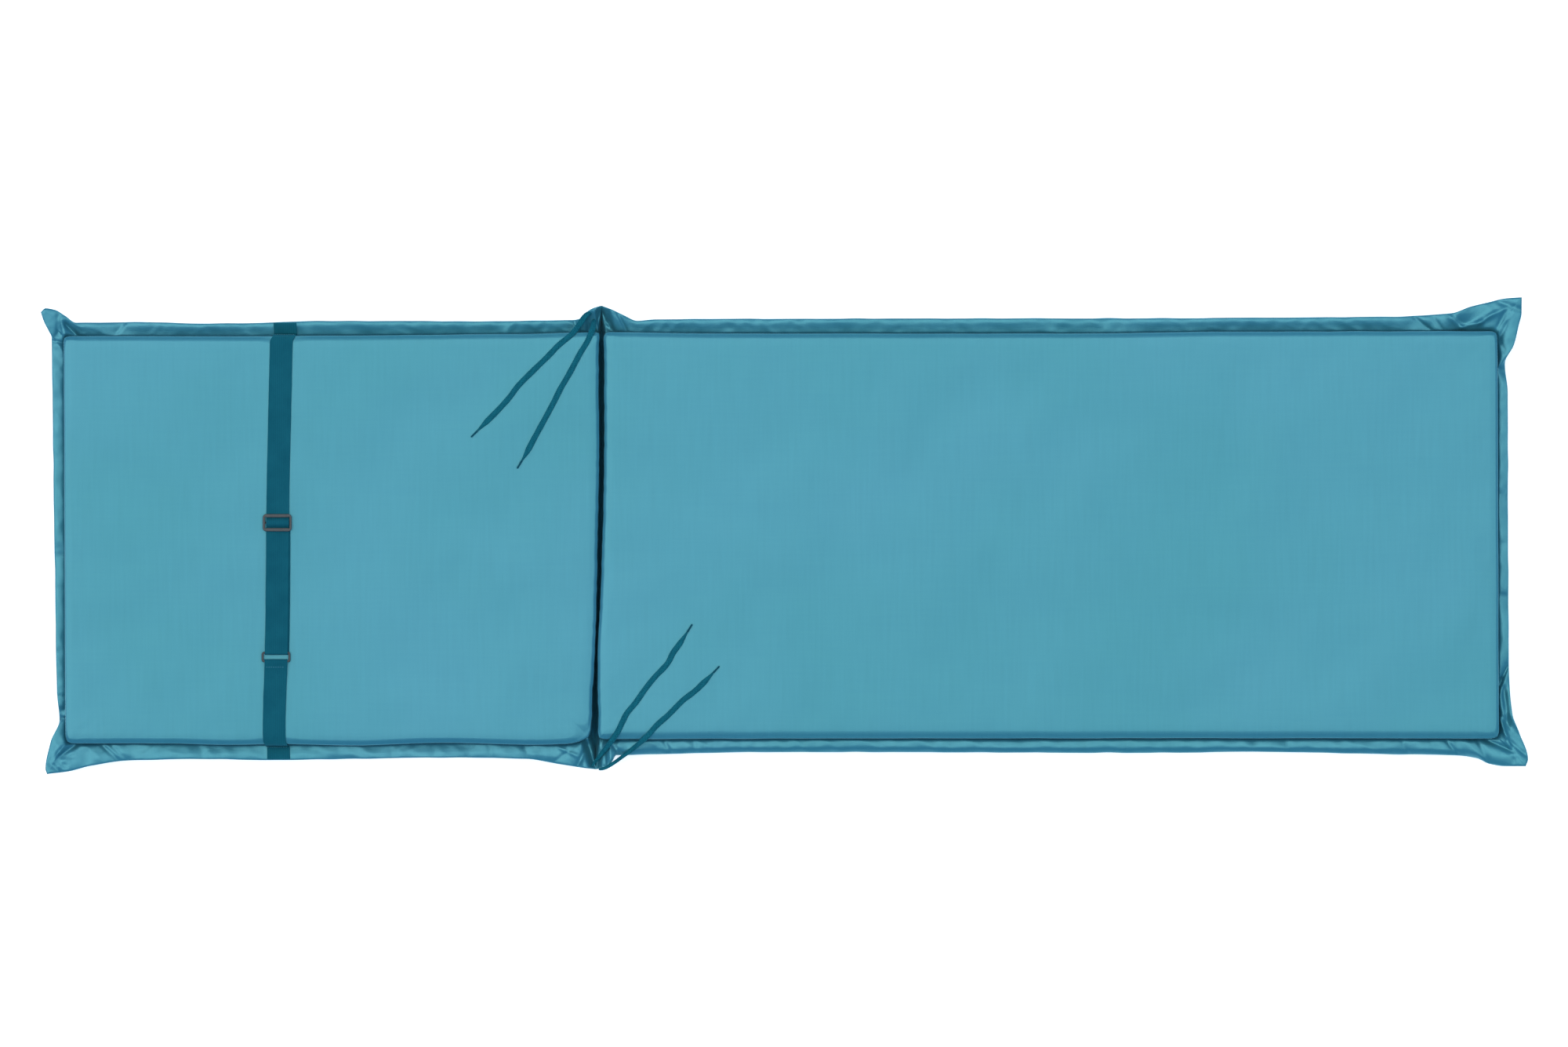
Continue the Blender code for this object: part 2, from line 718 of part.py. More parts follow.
def smooth_path(points, spacing):
    """Points about a spacing apart on a Catmull-Rom curve through a route's own points."""
    route = [Vector(p) for p in points]
    route = [2 * route[0] - route[1], *route, 2 * route[-1] - route[-2]]
    fine = []
    for a, b, c, d in zip(route, route[1:], route[2:], route[3:]):
        for t in (step / 20 for step in range(20)):
            curve = 2 * b + (c - a) * t + (2 * a - 5 * b + 4 * c - d) * t**2
            fine.append(0.5 * (curve + (3 * b - a - 3 * c + d) * t**3))
    fine.append(route[-2])
    lengths = [0.0]
    for a, b in zip(fine, fine[1:]):
        lengths.append(lengths[-1] + (b - a).length)
    count = round(lengths[-1] / spacing)
    made = []
    k = 0
    for place in (lengths[-1] * step / count for step in range(count + 1)):
        while k < len(fine) - 2 and lengths[k + 1] < place:
            k += 1
        made.append(fine[k].lerp(fine[k + 1], (place - lengths[k]) / (lengths[k + 1] - lengths[k])))
    return made


def height_below(surface, x, y, reach):
    """The highest point of the cushion within reach of a place, or 0 past the hem's outer edge."""
    highest = 0.0
    for out in (0.0, reach / 2, reach):
        for turn in range(12):
            spot_x = x + out * math.cos(turn * math.pi / 6)
            spot_y = y + out * math.sin(turn * math.pi / 6)
            above = Vector((spot_x * MM, spot_y * MM, 2 * FACE_HEIGHT * MM))
            hit = surface.ray_cast(above, Vector((0, 0, -1)))[0]
            if hit:
                highest = max(highest, hit.z / MM)
    return highest


def rest_on(surface, route, spacing):
    """Lays a route on the cushion: close above it, and with no stretch steeper than a lace bends."""
    fine = smooth_path(route, 2.0)
    heights = [height_below(surface, p.x, p.y, LACE_WIDTH * 0.6) for p in fine]
    window = math.ceil(spacing / 2.0)
    covered = [max(heights[max(k - window, 0) : k + window + 1]) for k in range(len(fine))]
    slope = LACE_SLOPE * 2.0
    count = len(covered)
    eased = [max(covered[m] - slope * abs(m - k) for m in range(count)) for k in range(count)]
    count = round((len(fine) - 1) * 2.0 / spacing)
    rested = []
    for k in range(count + 1):
        at = round((len(fine) - 1) * k / count)
        height = eased[at] + 2 * GAP + LACE_THICKNESS / 2
        rested.append(Vector((fine[at].x, fine[at].y, height)))
    return rested


def make_lace(name, path, mat):
    """A flat braid with rounded edges that narrows towards its tip."""
    end = path[-1] - path[-2]
    path = [*path[:-1], path[-1] - end.normalized() * LACE_NARROWING, path[-1]]
    curve = bpy.data.curves.new(name, "CURVE")
    curve.dimensions = "3D"
    curve.twist_mode = "Z_UP"
    curve.extrude = (LACE_WIDTH - LACE_THICKNESS) / 2 * MM
    curve.bevel_depth = LACE_THICKNESS / 2 * MM
    curve.bevel_resolution = 2
    curve.use_fill_caps = True
    spline = curve.splines.new("POLY")
    spline.points.add(len(path) - 1)
    for knot, point in zip(spline.points, path):
        knot.co = (*(point * MM), 1.0)
        knot.tilt = math.pi / 2
    spline.points[-1].radius = TIP_SIZE[1] / LACE_WIDTH
    curve.materials.append(mat)
    obj = bpy.data.objects.new(name, curve)
    bpy.context.scene.collection.objects.link(obj)
    return obj


def make_tip(name, path, mat):
    """The lace's tip: a thin round sleeve on the face, in line with the end of the lace."""
    along = (path[-1] - path[-2]).normalized()
    along.z = 0.0
    length, width = TIP_SIZE
    middle = path[-1] + along * (GAP + length / 2)
    middle.z = FACE_HEIGHT + 2 * GAP + width / 2
    bm = bmesh.new()
    bmesh.ops.create_cone(
        bm, cap_ends=True, segments=10, radius1=width / 2 * MM, radius2=width * 0.4 * MM, depth=length * MM
    )
    tip = finish(name, bm, mat)
    tip.location = middle * MM
    tip.rotation_euler = (math.pi / 2, 0, math.atan2(along.y, along.x) + math.pi / 2)
    return tip


def main():
    clear_scene()
    cover = new_material("cover_cloth", (0.102, 0.356, 0.474), 0.5)
    strap = new_material("strap_webbing", (0.007, 0.098, 0.147), 0.7)
    braid = new_material("lace_braid", (0.009, 0.122, 0.181), 0.75)
    fitting = new_material("strap_fittings", (0.127, 0.114, 0.127), 0.4)
    cushion = make_cushion(cover)
    mesh = cushion.data
    surface = BVHTree.FromPolygons([v.co for v in mesh.vertices], [p.vertices for p in mesh.polygons])
    make_long_strap(strap)
    make_short_strap(strap)
    make_slide(fitting)
    make_ring(fitting)
    for name, route in LACE_ROUTES.items():
        path = rest_on(surface, route, LACE_SPACING)
        make_lace(name, path, braid)
        make_tip(f"{name}_tip", path, braid)


main()
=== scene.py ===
"""Sun lounger cushion, dressed: padded cover with a standing hem, webbing with slide and ring, and laces.

The tables are in millimetres, in the same frame as the solids: +X towards the foot end, +Y to the left of
someone who looks that way, +Z up out of the strap side, with the origin on the floor below the middle.
"""

import math

import bmesh
import bpy
import numpy as np
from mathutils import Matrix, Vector, noise
from mathutils.bvhtree import BVHTree
from mathutils.geometry import delaunay_2d_cdt


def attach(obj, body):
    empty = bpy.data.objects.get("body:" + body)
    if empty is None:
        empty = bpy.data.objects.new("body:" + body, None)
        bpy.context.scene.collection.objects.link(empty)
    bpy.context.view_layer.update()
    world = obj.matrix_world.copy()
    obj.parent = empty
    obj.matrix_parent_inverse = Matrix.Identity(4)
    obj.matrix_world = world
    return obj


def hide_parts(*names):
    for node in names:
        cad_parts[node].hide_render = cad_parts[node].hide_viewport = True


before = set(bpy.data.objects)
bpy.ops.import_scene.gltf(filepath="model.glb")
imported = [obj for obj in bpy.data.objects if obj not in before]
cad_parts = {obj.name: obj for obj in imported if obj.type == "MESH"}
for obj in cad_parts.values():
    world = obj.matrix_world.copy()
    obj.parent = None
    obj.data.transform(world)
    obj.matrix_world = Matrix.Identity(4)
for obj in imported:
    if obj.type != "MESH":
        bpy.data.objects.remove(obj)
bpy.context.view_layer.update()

MM = 0.001
GAP = 0.3
UP = np.array((0.0, 0.0, 1.0))

# Heights of the pads and of the hem
FACE_HEIGHT = 50.0
SEAM_HEIGHT = 24.0
SEAM_INSET = 4.0
STITCH_PLACE = 5.2

# Section of a pad, from the seam up to the face: how far in from the pad's edge, share of the rounding beyond
# that, height. A low lip runs along the edge, where the cloth is turned in.
UPPER_SECTION = (
    (4.0, 0.0, 24.0),
    (2.9, 0.0, 26.6),
    (1.5, 0.0, 30.2),
    (0.4, 0.0, 34.2),
    (0.0, 0.0, 38.0),
    (0.1, 0.0, 41.4),
    (0.25, 0.0, 44.2),
    (0.35, 0.01, 46.4),
    (0.4, 0.05, 47.3),
    (0.4, 0.11, 47.72),
    (0.4, 0.17, 47.82),
    (0.4, 0.24, 48.02),
    (0.4, 0.36, 48.48),
    (0.4, 0.5, 48.94),
    (0.4, 0.66, 49.38),
    (0.4, 0.82, 49.68),
    (0.4, 1.0, 49.84),
    (9.0, 1.0, 49.93),
    (26.0, 1.0, 49.98),
)

# How wide the face rounds off along each side, and how near to a corner that turns into the corner's width
ROUNDING = {"left": 7.8, "right": 10.4, "back_right": 7.2, "head": 1.9, "foot": 3.6, "fold": 5.0}
ROUNDING_BLEND = 26.0

# Section of a pad, from the seam down to the flat sole
LOWER_SECTION = (
    (4.0, 22.2),
    (2.6, 20.0),
    (1.0, 16.0),
    (0.0, 11.0),
    (0.3, 7.2),
    (1.5, 4.0),
    (3.6, 1.7),
    (6.4, 0.4),
    (9.0, 0.0),
)

# Section of the hem: share of its width from the seam, height above the seam at the corners and along each
# side, and thickness
HEM_COLUMNS = ("share", "corner", "left", "seat_right", "back_right", "head", "foot", "thickness")
HEM_SECTION = (
    (0.0, 0.0, 0.0, 0.0, 0.0, 0.0, 0.0, 1.8),
    (0.06, 4.2, 2.6, 2.7, 2.5, 3.4, 2.4, 1.7),
    (0.12, 8.0, 5.8, 6.3, 5.5, 7.2, 5.2, 1.5),
    (0.2, 9.8, 8.6, 9.6, 8.0, 10.4, 9.2, 1.3),
    (0.3, 10.2, 9.3, 11.1, 8.6, 11.2, 11.6, 1.2),
    (0.4, 10.4, 9.9, 11.6, 9.0, 11.7, 12.2, 1.2),
    (0.5, 10.5, 10.5, 11.8, 9.5, 12.1, 12.4, 1.2),
    (0.6, 10.5, 11.15, 11.9, 10.0, 12.4, 12.5, 1.2),
    (0.7, 10.4, 11.7, 11.7, 10.4, 12.6, 12.5, 1.2),
    (0.8, 10.3, 12.0, 10.8, 10.5, 12.7, 12.4, 1.5),
    (0.9, 10.0, 11.85, 9.2, 10.4, 12.7, 12.3, 1.9),
    (0.96, 9.6, 11.5, 8.0, 10.1, 12.4, 12.1, 1.6),
    (1.0, 8.4, 10.4, 6.4, 9.0, 11.5, 11.3, 0.3),
)
HEM_SHARES = (
    0.0, 0.05, 0.1, 0.14, 0.18, 0.22, 0.27, 0.32, 0.37, 0.42, 0.47, 0.52, 0.57, 0.62, 0.67, 0.72, 0.765,
    0.81, 0.85, 0.89, 0.925, 0.955, 0.975, 0.99, 1.0,
)
SECTION_BLEND = 45.0

# The pads' corners from above, from the left side's head end on: x, y, corner radius, how wide the face
# rounds off there
BACK_CORNERS = (
    (-919.0, 254.5, 6.0, 4.0), (-234.2, 260.0, 6.0, 4.0), (-241.7, -264.0, 24.0, 19.0),
    (-916.6, -265.0, 8.0, 4.0),
)
SEAT_CORNERS = (
    (-230.2, 260.0, 6.0, 4.0), (910.0, 261.0, 7.0, 4.5), (912.0, -259.0, 8.0, 7.0),
    (-238.2, -260.0, 8.0, 5.0),
)
INWARD = ((1, -1), (-1, -1), (-1, 1), (1, 1))

# A corner's rounding, in radii: how far along its sides it reaches, and how deep it cuts
CORNER_REACH = 1.6
CORNER_CUT = 0.3

# Waver of the pads' sides: share of the side's length, how far it stands out there
STRAIGHT = ((0.0, 0.0), (1.0, 0.0))
BACK_LEFT_WAVER = ((0.0, 0.0), (0.41, -2.0), (0.54, -2.0), (0.83, -1.9), (1.0, 0.0))
BACK_RIGHT_WAVER = (
    (0.0, 0.0), (0.11, 2.4), (0.28, 0.0), (0.45, 3.0), (0.60, 1.5), (0.70, 2.2), (0.80, 0.2), (1.0, 0.0),
)
SEAT_LEFT_WAVER = ((0.0, 0.0), (0.12, -2.2), (0.55, -2.5), (0.68, -0.3), (1.0, 0.0))
SEAT_RIGHT_WAVER = ((0.0, 0.0), (0.10, -0.6), (0.50, -0.9), (0.90, -0.6), (1.0, 0.0))
BACK_FOLD_WAVER = (
    (0.0, 0.0), (0.04, -1.3), (0.37, 1.3), (0.46, 1.0), (0.60, 0.4), (0.70, 0.2), (0.80, -1.0),
    (0.89, -3.0), (0.95, -3.0), (1.0, 0.0),
)
SEAT_FOLD_WAVER = (
    (0.0, 0.0), (0.05, -0.7), (0.15, 1.1), (0.22, 1.1), (0.30, -0.3), (0.39, -1.4), (0.49, -2.1),
    (0.58, -3.3), (0.85, -1.8), (1.0, 0.0),
)

# The fold's middle line: y, x
FOLD_LINE = (
    (293.5, -233.0), (243.0, -233.3), (68.0, -233.3), (18.0, -233.9), (-57.0, -235.9), (-107.0, -237.4),
    (-157.0, -239.3), (-207.0, -240.8), (-250.0, -241.2), (-298.0, -240.0),
)

# The hem's outline, with its ears, notches and peaks: place along the side, place across it
LEFT_PEAK = (-233.0, 293.5)
RIGHT_PEAK = (-240.0, -298.0)
BACK_LEFT_HEM = (
    (-948.0, 285.0), (-942.0, 290.0), (-930.0, 288.0), (-917.0, 280.5), (-903.0, 271.5), (-876.0, 272.0),
    (-810.0, 272.5), (-750.0, 270.5), (-690.0, 271.0), (-570.0, 274.0), (-390.0, 273.5), (-270.0, 275.0),
    (-260.0, 277.0), (-252.0, 285.0), (-244.0, 290.0), LEFT_PEAK,
)
SEAT_LEFT_HEM = (
    LEFT_PEAK, (-220.0, 288.5), (-204.0, 281.0), (-187.0, 274.0), (-164.0, 276.0), (100.0, 277.0),
    (500.0, 277.5), (780.0, 279.5), (852.0, 284.0), (876.0, 292.0), (900.0, 298.0), (920.0, 302.5),
    (941.0, 304.0),
)
FOOT_HEM = (
    (304.0, 941.0), (285.0, 941.0), (267.0, 937.0), (243.0, 931.0), (220.0, 920.0), (183.0, 923.2),
    (-97.0, 924.2), (-172.0, 925.0), (-227.0, 929.0), (-251.0, 938.0), (-285.0, 949.0), (-294.0, 946.0),
)
SEAT_RIGHT_HEM = (
    (946.0, -294.0), (920.0, -294.0), (900.0, -291.0), (884.0, -284.0), (852.0, -280.0), (780.0, -279.0),
    (600.0, -276.0), (460.0, -277.0), (0.0, -276.0), (-170.0, -279.0), (-204.0, -280.0), (-214.0, -280.0),
    (-219.0, -288.0), (-226.0, -295.5), RIGHT_PEAK,
)
BACK_RIGHT_HEM = (
    RIGHT_PEAK, (-260.0, -295.5), (-284.0, -292.0), (-330.0, -285.0), (-410.0, -283.0), (-570.0, -285.0),
    (-640.0, -286.5), (-750.0, -285.0), (-840.0, -287.0), (-882.0, -293.0), (-912.0, -300.5),
    (-940.0, -304.0),
)
HEAD_HEM = (
    (-304.0, -940.0), (-297.0, -942.0), (-263.0, -935.5), (-235.0, -924.5), (-197.0, -927.5),
    (-17.0, -930.5), (123.0, -932.5), (253.0, -934.5), (261.0, -938.0), (273.0, -944.0), (285.0, -948.0),
)

# Ears: how far along the sides they pull the hem, and how much they lift it
EAR_REACH = 45.0
EAR_LIFT = 6.0

# Fold: its web lies below the seam and comes up at its ends, where the hem dips between two ridges by a share
# of its height
FOLD_DEPTH = 13.0
VALLEY_REACH = 8.0
VALLEY_DIP = 0.75
RIDGE_HEIGHT = 7.0
RIDGE_PLACE = 17.0
RIDGE_REACH = 11.0

# Where the strap pulls the back pad's edge down, so that the face rounds off wider: place, reach, by how much
PULLS = {"back_left": (-640.8, 20.0, 5.0), "back_right": (-650.0, 20.0, 4.5)}

# Soft folds of the hem: side, place along it, reach, height at the outer edge
HEM_FOLDS = (
    ("back_left", -852.0, 16.0, -3.0),
    ("back_left", -560.0, 30.0, 2.0),
    ("back_left", -320.0, 24.0, 2.5),
    ("seat_left", 60.0, 40.0, 1.5),
    ("seat_left", 420.0, 50.0, -1.5),
    ("seat_left", 815.0, 18.0, -3.5),
    ("seat_left", 862.0, 15.0, 4.0),
    ("foot", 214.0, 12.0, -4.5),
    ("foot", 40.0, 20.0, -3.0),
    ("foot", -82.0, 14.0, -3.5),
    ("foot", -178.0, 18.0, -5.0),
    ("foot", -236.0, 14.0, 4.0),
    ("seat_right", 868.0, 14.0, -4.0),
    ("seat_right", 790.0, 22.0, -3.0),
    ("seat_right", 620.0, 34.0, 2.5),
    ("seat_right", 250.0, 50.0, 1.5),
    ("seat_right", -165.0, 16.0, -3.5),
    ("back_right", -300.0, 26.0, -4.0),
    ("back_right", -385.0, 20.0, -3.0),
    ("back_right", -445.0, 20.0, 2.5),
    ("back_right", -560.0, 22.0, -3.0),
    ("back_right", -835.0, 18.0, -3.5),
    ("head", -236.0, 12.0, -4.0),
    ("head", -30.0, 22.0, -2.5),
    ("head", 240.0, 14.0, -3.0),
)

# How much a crease's step is felt, and how far the crease fades out past its ends and at most to its sides,
# in reaches
CREASE_STEP = 1.6
CREASE_END = 1.6
CREASE_SIDE = 3.0

# Share of the hem's width over which creases and wrinkles grow from the seam
RELIEF_GROWTH = 0.2

# Sharper creases of the hem, as straight lines from above: x, y at both ends, reach, height, and step,
# which raises the left side of the line and lowers its right side
CREASES = (
    (-841, 270, -850, 259, 3.1, -1.2, 1.2),
    (-345, 272, -352, 260, 4.8, 1.4, 0.0),
    (-310, 272, -306, 261, 4.8, 1.3, 0.0),
    (807, 277, 824, 264, 3.1, -1.8, 0.8),
    (830, 277, 838, 266, 2.9, -1.5, 0.6),
    (853, 279, 866, 267, 3.6, 0.0, -2.2),
    (866, 266.5, 888, 272, 2.8, 2.6, 0.0),
    (888, 272, 902, 281, 4.0, 2.5, 0.0),
    (902, 281, 918, 288, 4.0, 2.0, 0.0),
    (915, 296, 939, 287, 4.0, -2.0, -1.0),
    (919, 284, 912, 269, 4.0, -2.2, 0.0),
    (921, 268, 916, 258, 4.0, -2.0, 0.0),
    (913, 249, 918, 238, 3.6, -2.0, 0.0),
    (914, 213, 921, 209, 2.8, -1.8, 0.8),
    (912, 56, 922, 48, 2.9, -1.6, 0.6),
    (912, 11, 922, 11, 2.8, -1.3, 0.0),
    (912, -12, 922, -10, 2.8, -1.2, 0.0),
    (912, -76, 923, -79, 2.8, -1.3, 0.5),
    (912, -88, 923, -86, 2.8, -1.1, 0.0),
    (923, -169, 916, -185, 2.8, -3.2, 2.2),
    (916, -185, 912, -198, 2.8, -3.0, 1.8),
    (919, -200, 923, -236, 4.8, -4.5, 0.0),
    (914, -236, 921, -256, 2.8, 4.0, 0.0),
    (921, -256, 929, -276, 4.0, 2.9, 0.0),
    (920, -258, 943, -278, 4.0, -2.2, -0.7),
    (929, -272, 931, -287, 4.0, -2.0, 0.0),
    (897, -261, 925, -273, 4.1, -4.2, 0.0),
    (886, -265, 896, -284, 4.0, -1.9, -0.8),
    (846, -262, 858, -276, 2.9, -1.8, 0.8),
    (789, -262, 795, -276, 3.1, -1.5, 0.0),
    (640, -262, 646, -274, 3.6, -1.3, 0.0),
    (600, -262, 604, -274, 3.6, -1.2, 0.0),
    (-115, -262, -112, -276, 3.4, -1.6, 0.5),
    (-154, -261, -147, -275, 2.9, -1.8, -0.8),
    (-332, -268, -326, -283, 4.1, -1.8, 0.0),
    (-375, -268, -372, -281, 3.6, -1.6, 0.5),
    (-399, -268, -403, -281, 3.6, -1.4, 0.0),
    (-447, -267, -445, -282, 4.1, -1.6, 0.0),
    (-497, -267, -500, -282, 4.3, -1.8, 0.5),
    (-570, -267, -566, -283, 4.3, -1.5, 0.0),
    (-745, -269, -741, -284, 4.3, -1.4, 0.0),
    (-867, -269, -850, -285, 3.1, -2.4, 1.0),
    (-858, -268, -846, -280, 2.8, -1.4, 0.0),
    (-918, -268, -925, -277, 4.0, 3.1, 0.0),
    (-925, -277, -930, -285, 4.0, 2.5, 0.0),
    (-922, -279, -905, -268, 4.0, -4.2, 0.0),
    (-934, -292, -924, -301, 4.0, -2.2, 0.0),
    (-929, -286, -920, -291, 4.0, -1.5, 0.5),
    (-926, -283, -912, -282, 4.0, -1.4, 0.0),
    (-931, -235, -917, -232, 2.8, -2.6, 0.8),
    (-930, -224, -918, -222, 2.8, -1.5, 0.0),
    (-928, -206, -918, -205, 2.8, -1.4, 0.0),
    (-930, -70, -918, -67, 3.1, -1.4, 0.0),
    (-930, -27, -918, -28, 3.1, -1.3, 0.0),
    (-932, 249, -920, 246, 2.9, -2.0, 0.6),
    (-929, 254, -922, 262, 4.0, -1.4, 0.0),
    (-926, 278, -926, 263, 4.0, -2.2, -0.7),
    (-921, 272, -918, 258, 4.0, 2.9, 0.0),
    (-915, 268, -904, 257, 4.0, -5.1, 0.0),
    (-231, 284, -225, 271, 2.8, -3.0, 0.0),
    (-225, 271, -218, 262, 2.8, -2.4, 0.0),
    (-211, 282, -201, 263, 2.8, -2.2, 0.8),
    (-250, 272, -249, 263, 4.1, -4.5, 0.0),
    (-241, 285, -238, 262, 2.8, 4.2, 0.0),
    (-228, -273, -228, -290, 2.8, -3.0, 0.0),
    (-235, -262, -233, -292, 2.8, 1.6, 0.0),
    (-222, -268, -221, -284, 2.8, 1.8, 0.0),
    (-214, -272, -210, -277, 3.6, -3.5, 0.0),
    (-252, -270, -262, -291, 4.1, -4.0, 0.0),
    (-266, -280, -284, -272, 2.9, 1.6, 0.0),
    (-290, -286, -276, -276, 2.9, -1.4, 0.0),
    (-246, -258, -246, -276, 4.8, -3.5, 0.0),
    (-247, 280, -245, 264, 2.8, -3.2, 0.0),
    (-256, 277, -262, 266, 3.0, 2.2, 0.0),
    (-268, 275, -262, 264, 2.8, -2.0, 0.8),
    (-229, 288, -226, 268, 2.8, 2.4, 0.0),
)

# Small wrinkles: length along the hem, breadth across it, slant, height, layer
WRINKLES = (
    (26.0, 30.0, 0.9, 0.85, 1.5),
    (15.0, 22.0, -0.7, 0.4, 4.5),
    (8.0, 12.0, 0.4, 0.14, 7.5),
)

# How strong the small wrinkles are on the fold's web
FOLD_WRINKLES = 0.25

# How many values each ripple has before it repeats, and at which of them its line starts
RIPPLE_VALUES = 4096
RIPPLE_START = 2000

# Ripples of the pads' edges, of their edges at the fold, of the lip, of the hem's outline and of the hem:
# how far apart their bumps lie, which is counted in stations for the lip, seed, height
EDGE_RIPPLE = (37.0, 13, 0.25)
FOLD_RIPPLE = (8.0, 17, 0.35)
LIP_RIPPLE = (6.0, 9, 0.12)
OUTLINE_RIPPLE = (23.0, 5, 0.35)
HEM_RIPPLES = ((61.0, 1, 0.9), (24.0, 2, 0.45))
HEM_PUCKER = (7.0, 3, 0.22)

# How near to the corners the ripples of the outline and of the hem fade out, how often the pucker's breadth
# goes into the hem's, and the lip's height and reach
OUTLINE_FADE = 60.0
HEM_FADE = 50.0
PUCKERS_ACROSS = 1.6
LIP_HEIGHT = 46.0
LIP_REACH = 4.0

# Mesh density: stretches along each side, how much closer together they lie near the corners, spacing of the
# faces' points, and points round the small pieces and along them
BACK_STEPS = 250
SEAT_STEPS = 366
END_STEPS = 196
CROWDING = 0.6
FACE_SPACING = 13.0
LACE_SIDES = 36
TIP_SIDES = 16
TIP_SECTIONS = 26
RING_SIDES = 20
STITCH_SIDES = 5
STITCH_SECTIONS = 6

# The cloth that settles over each pad: spacing of its points, how fast its first unevenness changes from one
# to the next, in which layer of the noise, share it shrinks by, pressure from below, frames, how far it may
# rise or sink, the height that is eased to three quarters of that, and how near to the face's edge it fades
# out
CLOTH_SPACING = 13.0
CLOTH_UNEVENNESS = 0.31
CLOTH_LAYER = 3.0
CLOTH_SLACK = -0.003
CLOTH_PRESSURE = 0.02
CLOTH_FRAMES = 20
CLOTH_CAP = 0.45
CLOTH_EASE = 3.0
CLOTH_FADE = 30.0

# Webbing, and the course of its middle line over the back pad: y, x
STRAP_WIDTH = 29.0
STRAP_THICKNESS = 1.2
STRAP_SPACING = 0.8
STRAP_COURSE = (
    (271.0, -636.6), (257.5, -635.8), (254.0, -637.6), (247.0, -640.8), (200.0, -641.9), (43.0, -645.2),
    (-97.0, -646.3), (-155.0, -647.4), (-247.0, -650.0), (-261.0, -649.6), (-266.0, -648.0),
    (-270.5, -645.0), (-285.0, -644.7),
)
LEFT_EDGE = 255.0
RIGHT_EDGE = -266.7

# How far out from the pad's edge each strap ends on the hem
LEFT_REACH = 16.4
RIGHT_REACH = 18.2

# A strap's end, from the hem to the face, as how far out from the pad's edge: on the hem's cloth, up the
# wall, with heights, and on the face
STRAP_ON_HEM = (12.6, 8.5, 4.4, 2.2)
STRAP_ON_WALL = (
    (0.9, 31.6), (0.3, 32.4), (0.6, 35.0), (0.9, 38.0), (0.85, 41.4), (0.75, 44.0), (0.4, 46.2), (-0.3, 47.5),
)
STRAP_ON_FACE = (-1.4, -2.4, -3.3, -4.3, -5.4, -8.0, -14.0, -34.0)

# Half of the webbing's section: share of its width, share of half its thickness
STRAP_SECTION = (
    (0.0, 0.35), (0.006, 0.7), (0.02, 0.95), (0.045, 1.0), (0.07, 0.86), (0.14, 0.9), (0.25, 0.92),
    (0.38, 0.92), (0.5, 0.92),
)

# How far round a place the strap keeps above the cloth
STRAP_CLEARANCE = 0.8

# How far to the side the long strap's returning layer lies
RETURN_SHIFT = 1.8

# Waver of the webbing's edges: how far apart its bumps lie, how far they stand out, and the straps' seeds
STRAP_WAVER = (14.0, 0.12)
LONG_STRAP_SEED = 21
SHORT_STRAP_SEED = 31

# Where the long strap lies flat before the slide, where its layers do so between the slide and the ring, and
# where the short strap does so: y
BEFORE_SLIDE = (190.0, 130.0, 70.0)
BETWEEN_FITTINGS = (-30.0, -80.0, -125.0)
BEHIND_RING = -214.0

# Slide: a flat frame whose middle bar lies lower than its two outer bars. Its edges are rounded off, and at
# its corners the rails rise this steeply to the outer bars.
SLIDE_PLACE = (-646.0, 16.5)
SLIDE_SIZE = (36.9, 22.2)
SLIDE_RAIL = 3.0
SLIDE_BAR = 4.4
SLIDE_BAR_THICKNESS = 2.4
SLIDE_CORNER = 4.5
SLIDE_EDGE = 0.85
SLIDE_RISE = 2.2
MIDDLE_BAR = (2.0, 1.6)
MIDDLE_BAR_EDGE = 0.55

# Ring: round wire bent into a rectangle, with corners of a share of its wire's width
RING_PLACE = (-647.5, -154.6)
RING_SIZE = (36.8, 13.6)
RING_WIRE = 2.8
RING_CORNER = 0.7
SEWN_TAIL = 18.0

# Stitches along the hem and across the strap: spacing, length, thread's radius, height above the cloth
HEM_STITCH = (3.9, 2.9, 0.26, 0.0)
STRAP_STITCH = (2.9, 2.2, 0.28, 0.1)

# A stitch's shape, as shares of its thread's radius: height of its hump, how deep its ends sink in, and how
# thick they are
STITCH_HUMP = 1.1
STITCH_SINK = 0.4
STITCH_END = 0.35

# Seams across the strap: y, how far in from its edges they begin
STRAP_SEAMS = {
    "strap_left_seam": (256.6, 1.5),
    "strap_loop_seam": (-167.5, 3.0),
    "strap_right_seam": (-269.6, 1.5),
}

# Flat braided laces: how near to the tip they narrow, how much that is eased, and how much thicker they get
LACE_WIDTH = 7.4
LACE_THICKNESS = 2.0
LACE_NARROWING = 17.0
NARROWING_EASE = 0.4
TIP_SWELL = 0.25

# How steeply a lace bends down, how far it may dip when it is evened out, how far it goes into the cloth at
# its peak, how deep, and the share of its width that it has there
LACE_SLOPE = 0.8
LACE_DIP = 0.1
LACE_ROOT = 8.0
LACE_SINK = 5.0
ROOT_SHARE = 0.2

# A lace's strands, its roundness across and upward, its ripple, and the spacing of its points
STRAND_PITCH = 3.4
STRANDS_ACROSS = 1.3
STRAND_RELIEF = 0.5
LACE_ROUNDNESS = (0.75, 0.85)
LACE_RIPPLE = (9.0, 11, 0.05)
LACE_SPACING = 0.55

# A lace's tip: length and width, distance from the braid, taper, how much of its length is rounded off at
# both ends, and its waves as height, pace and offset
TIP_SIZE = (12.0, 2.5)
TIP_GAP = 0.1
TIP_TAPER = 0.2
TIP_NEAR_END = 0.06
TIP_FAR_END = 0.08
TIP_WAVES = ((0.05, 9, 0), (0.03, 31, 1))

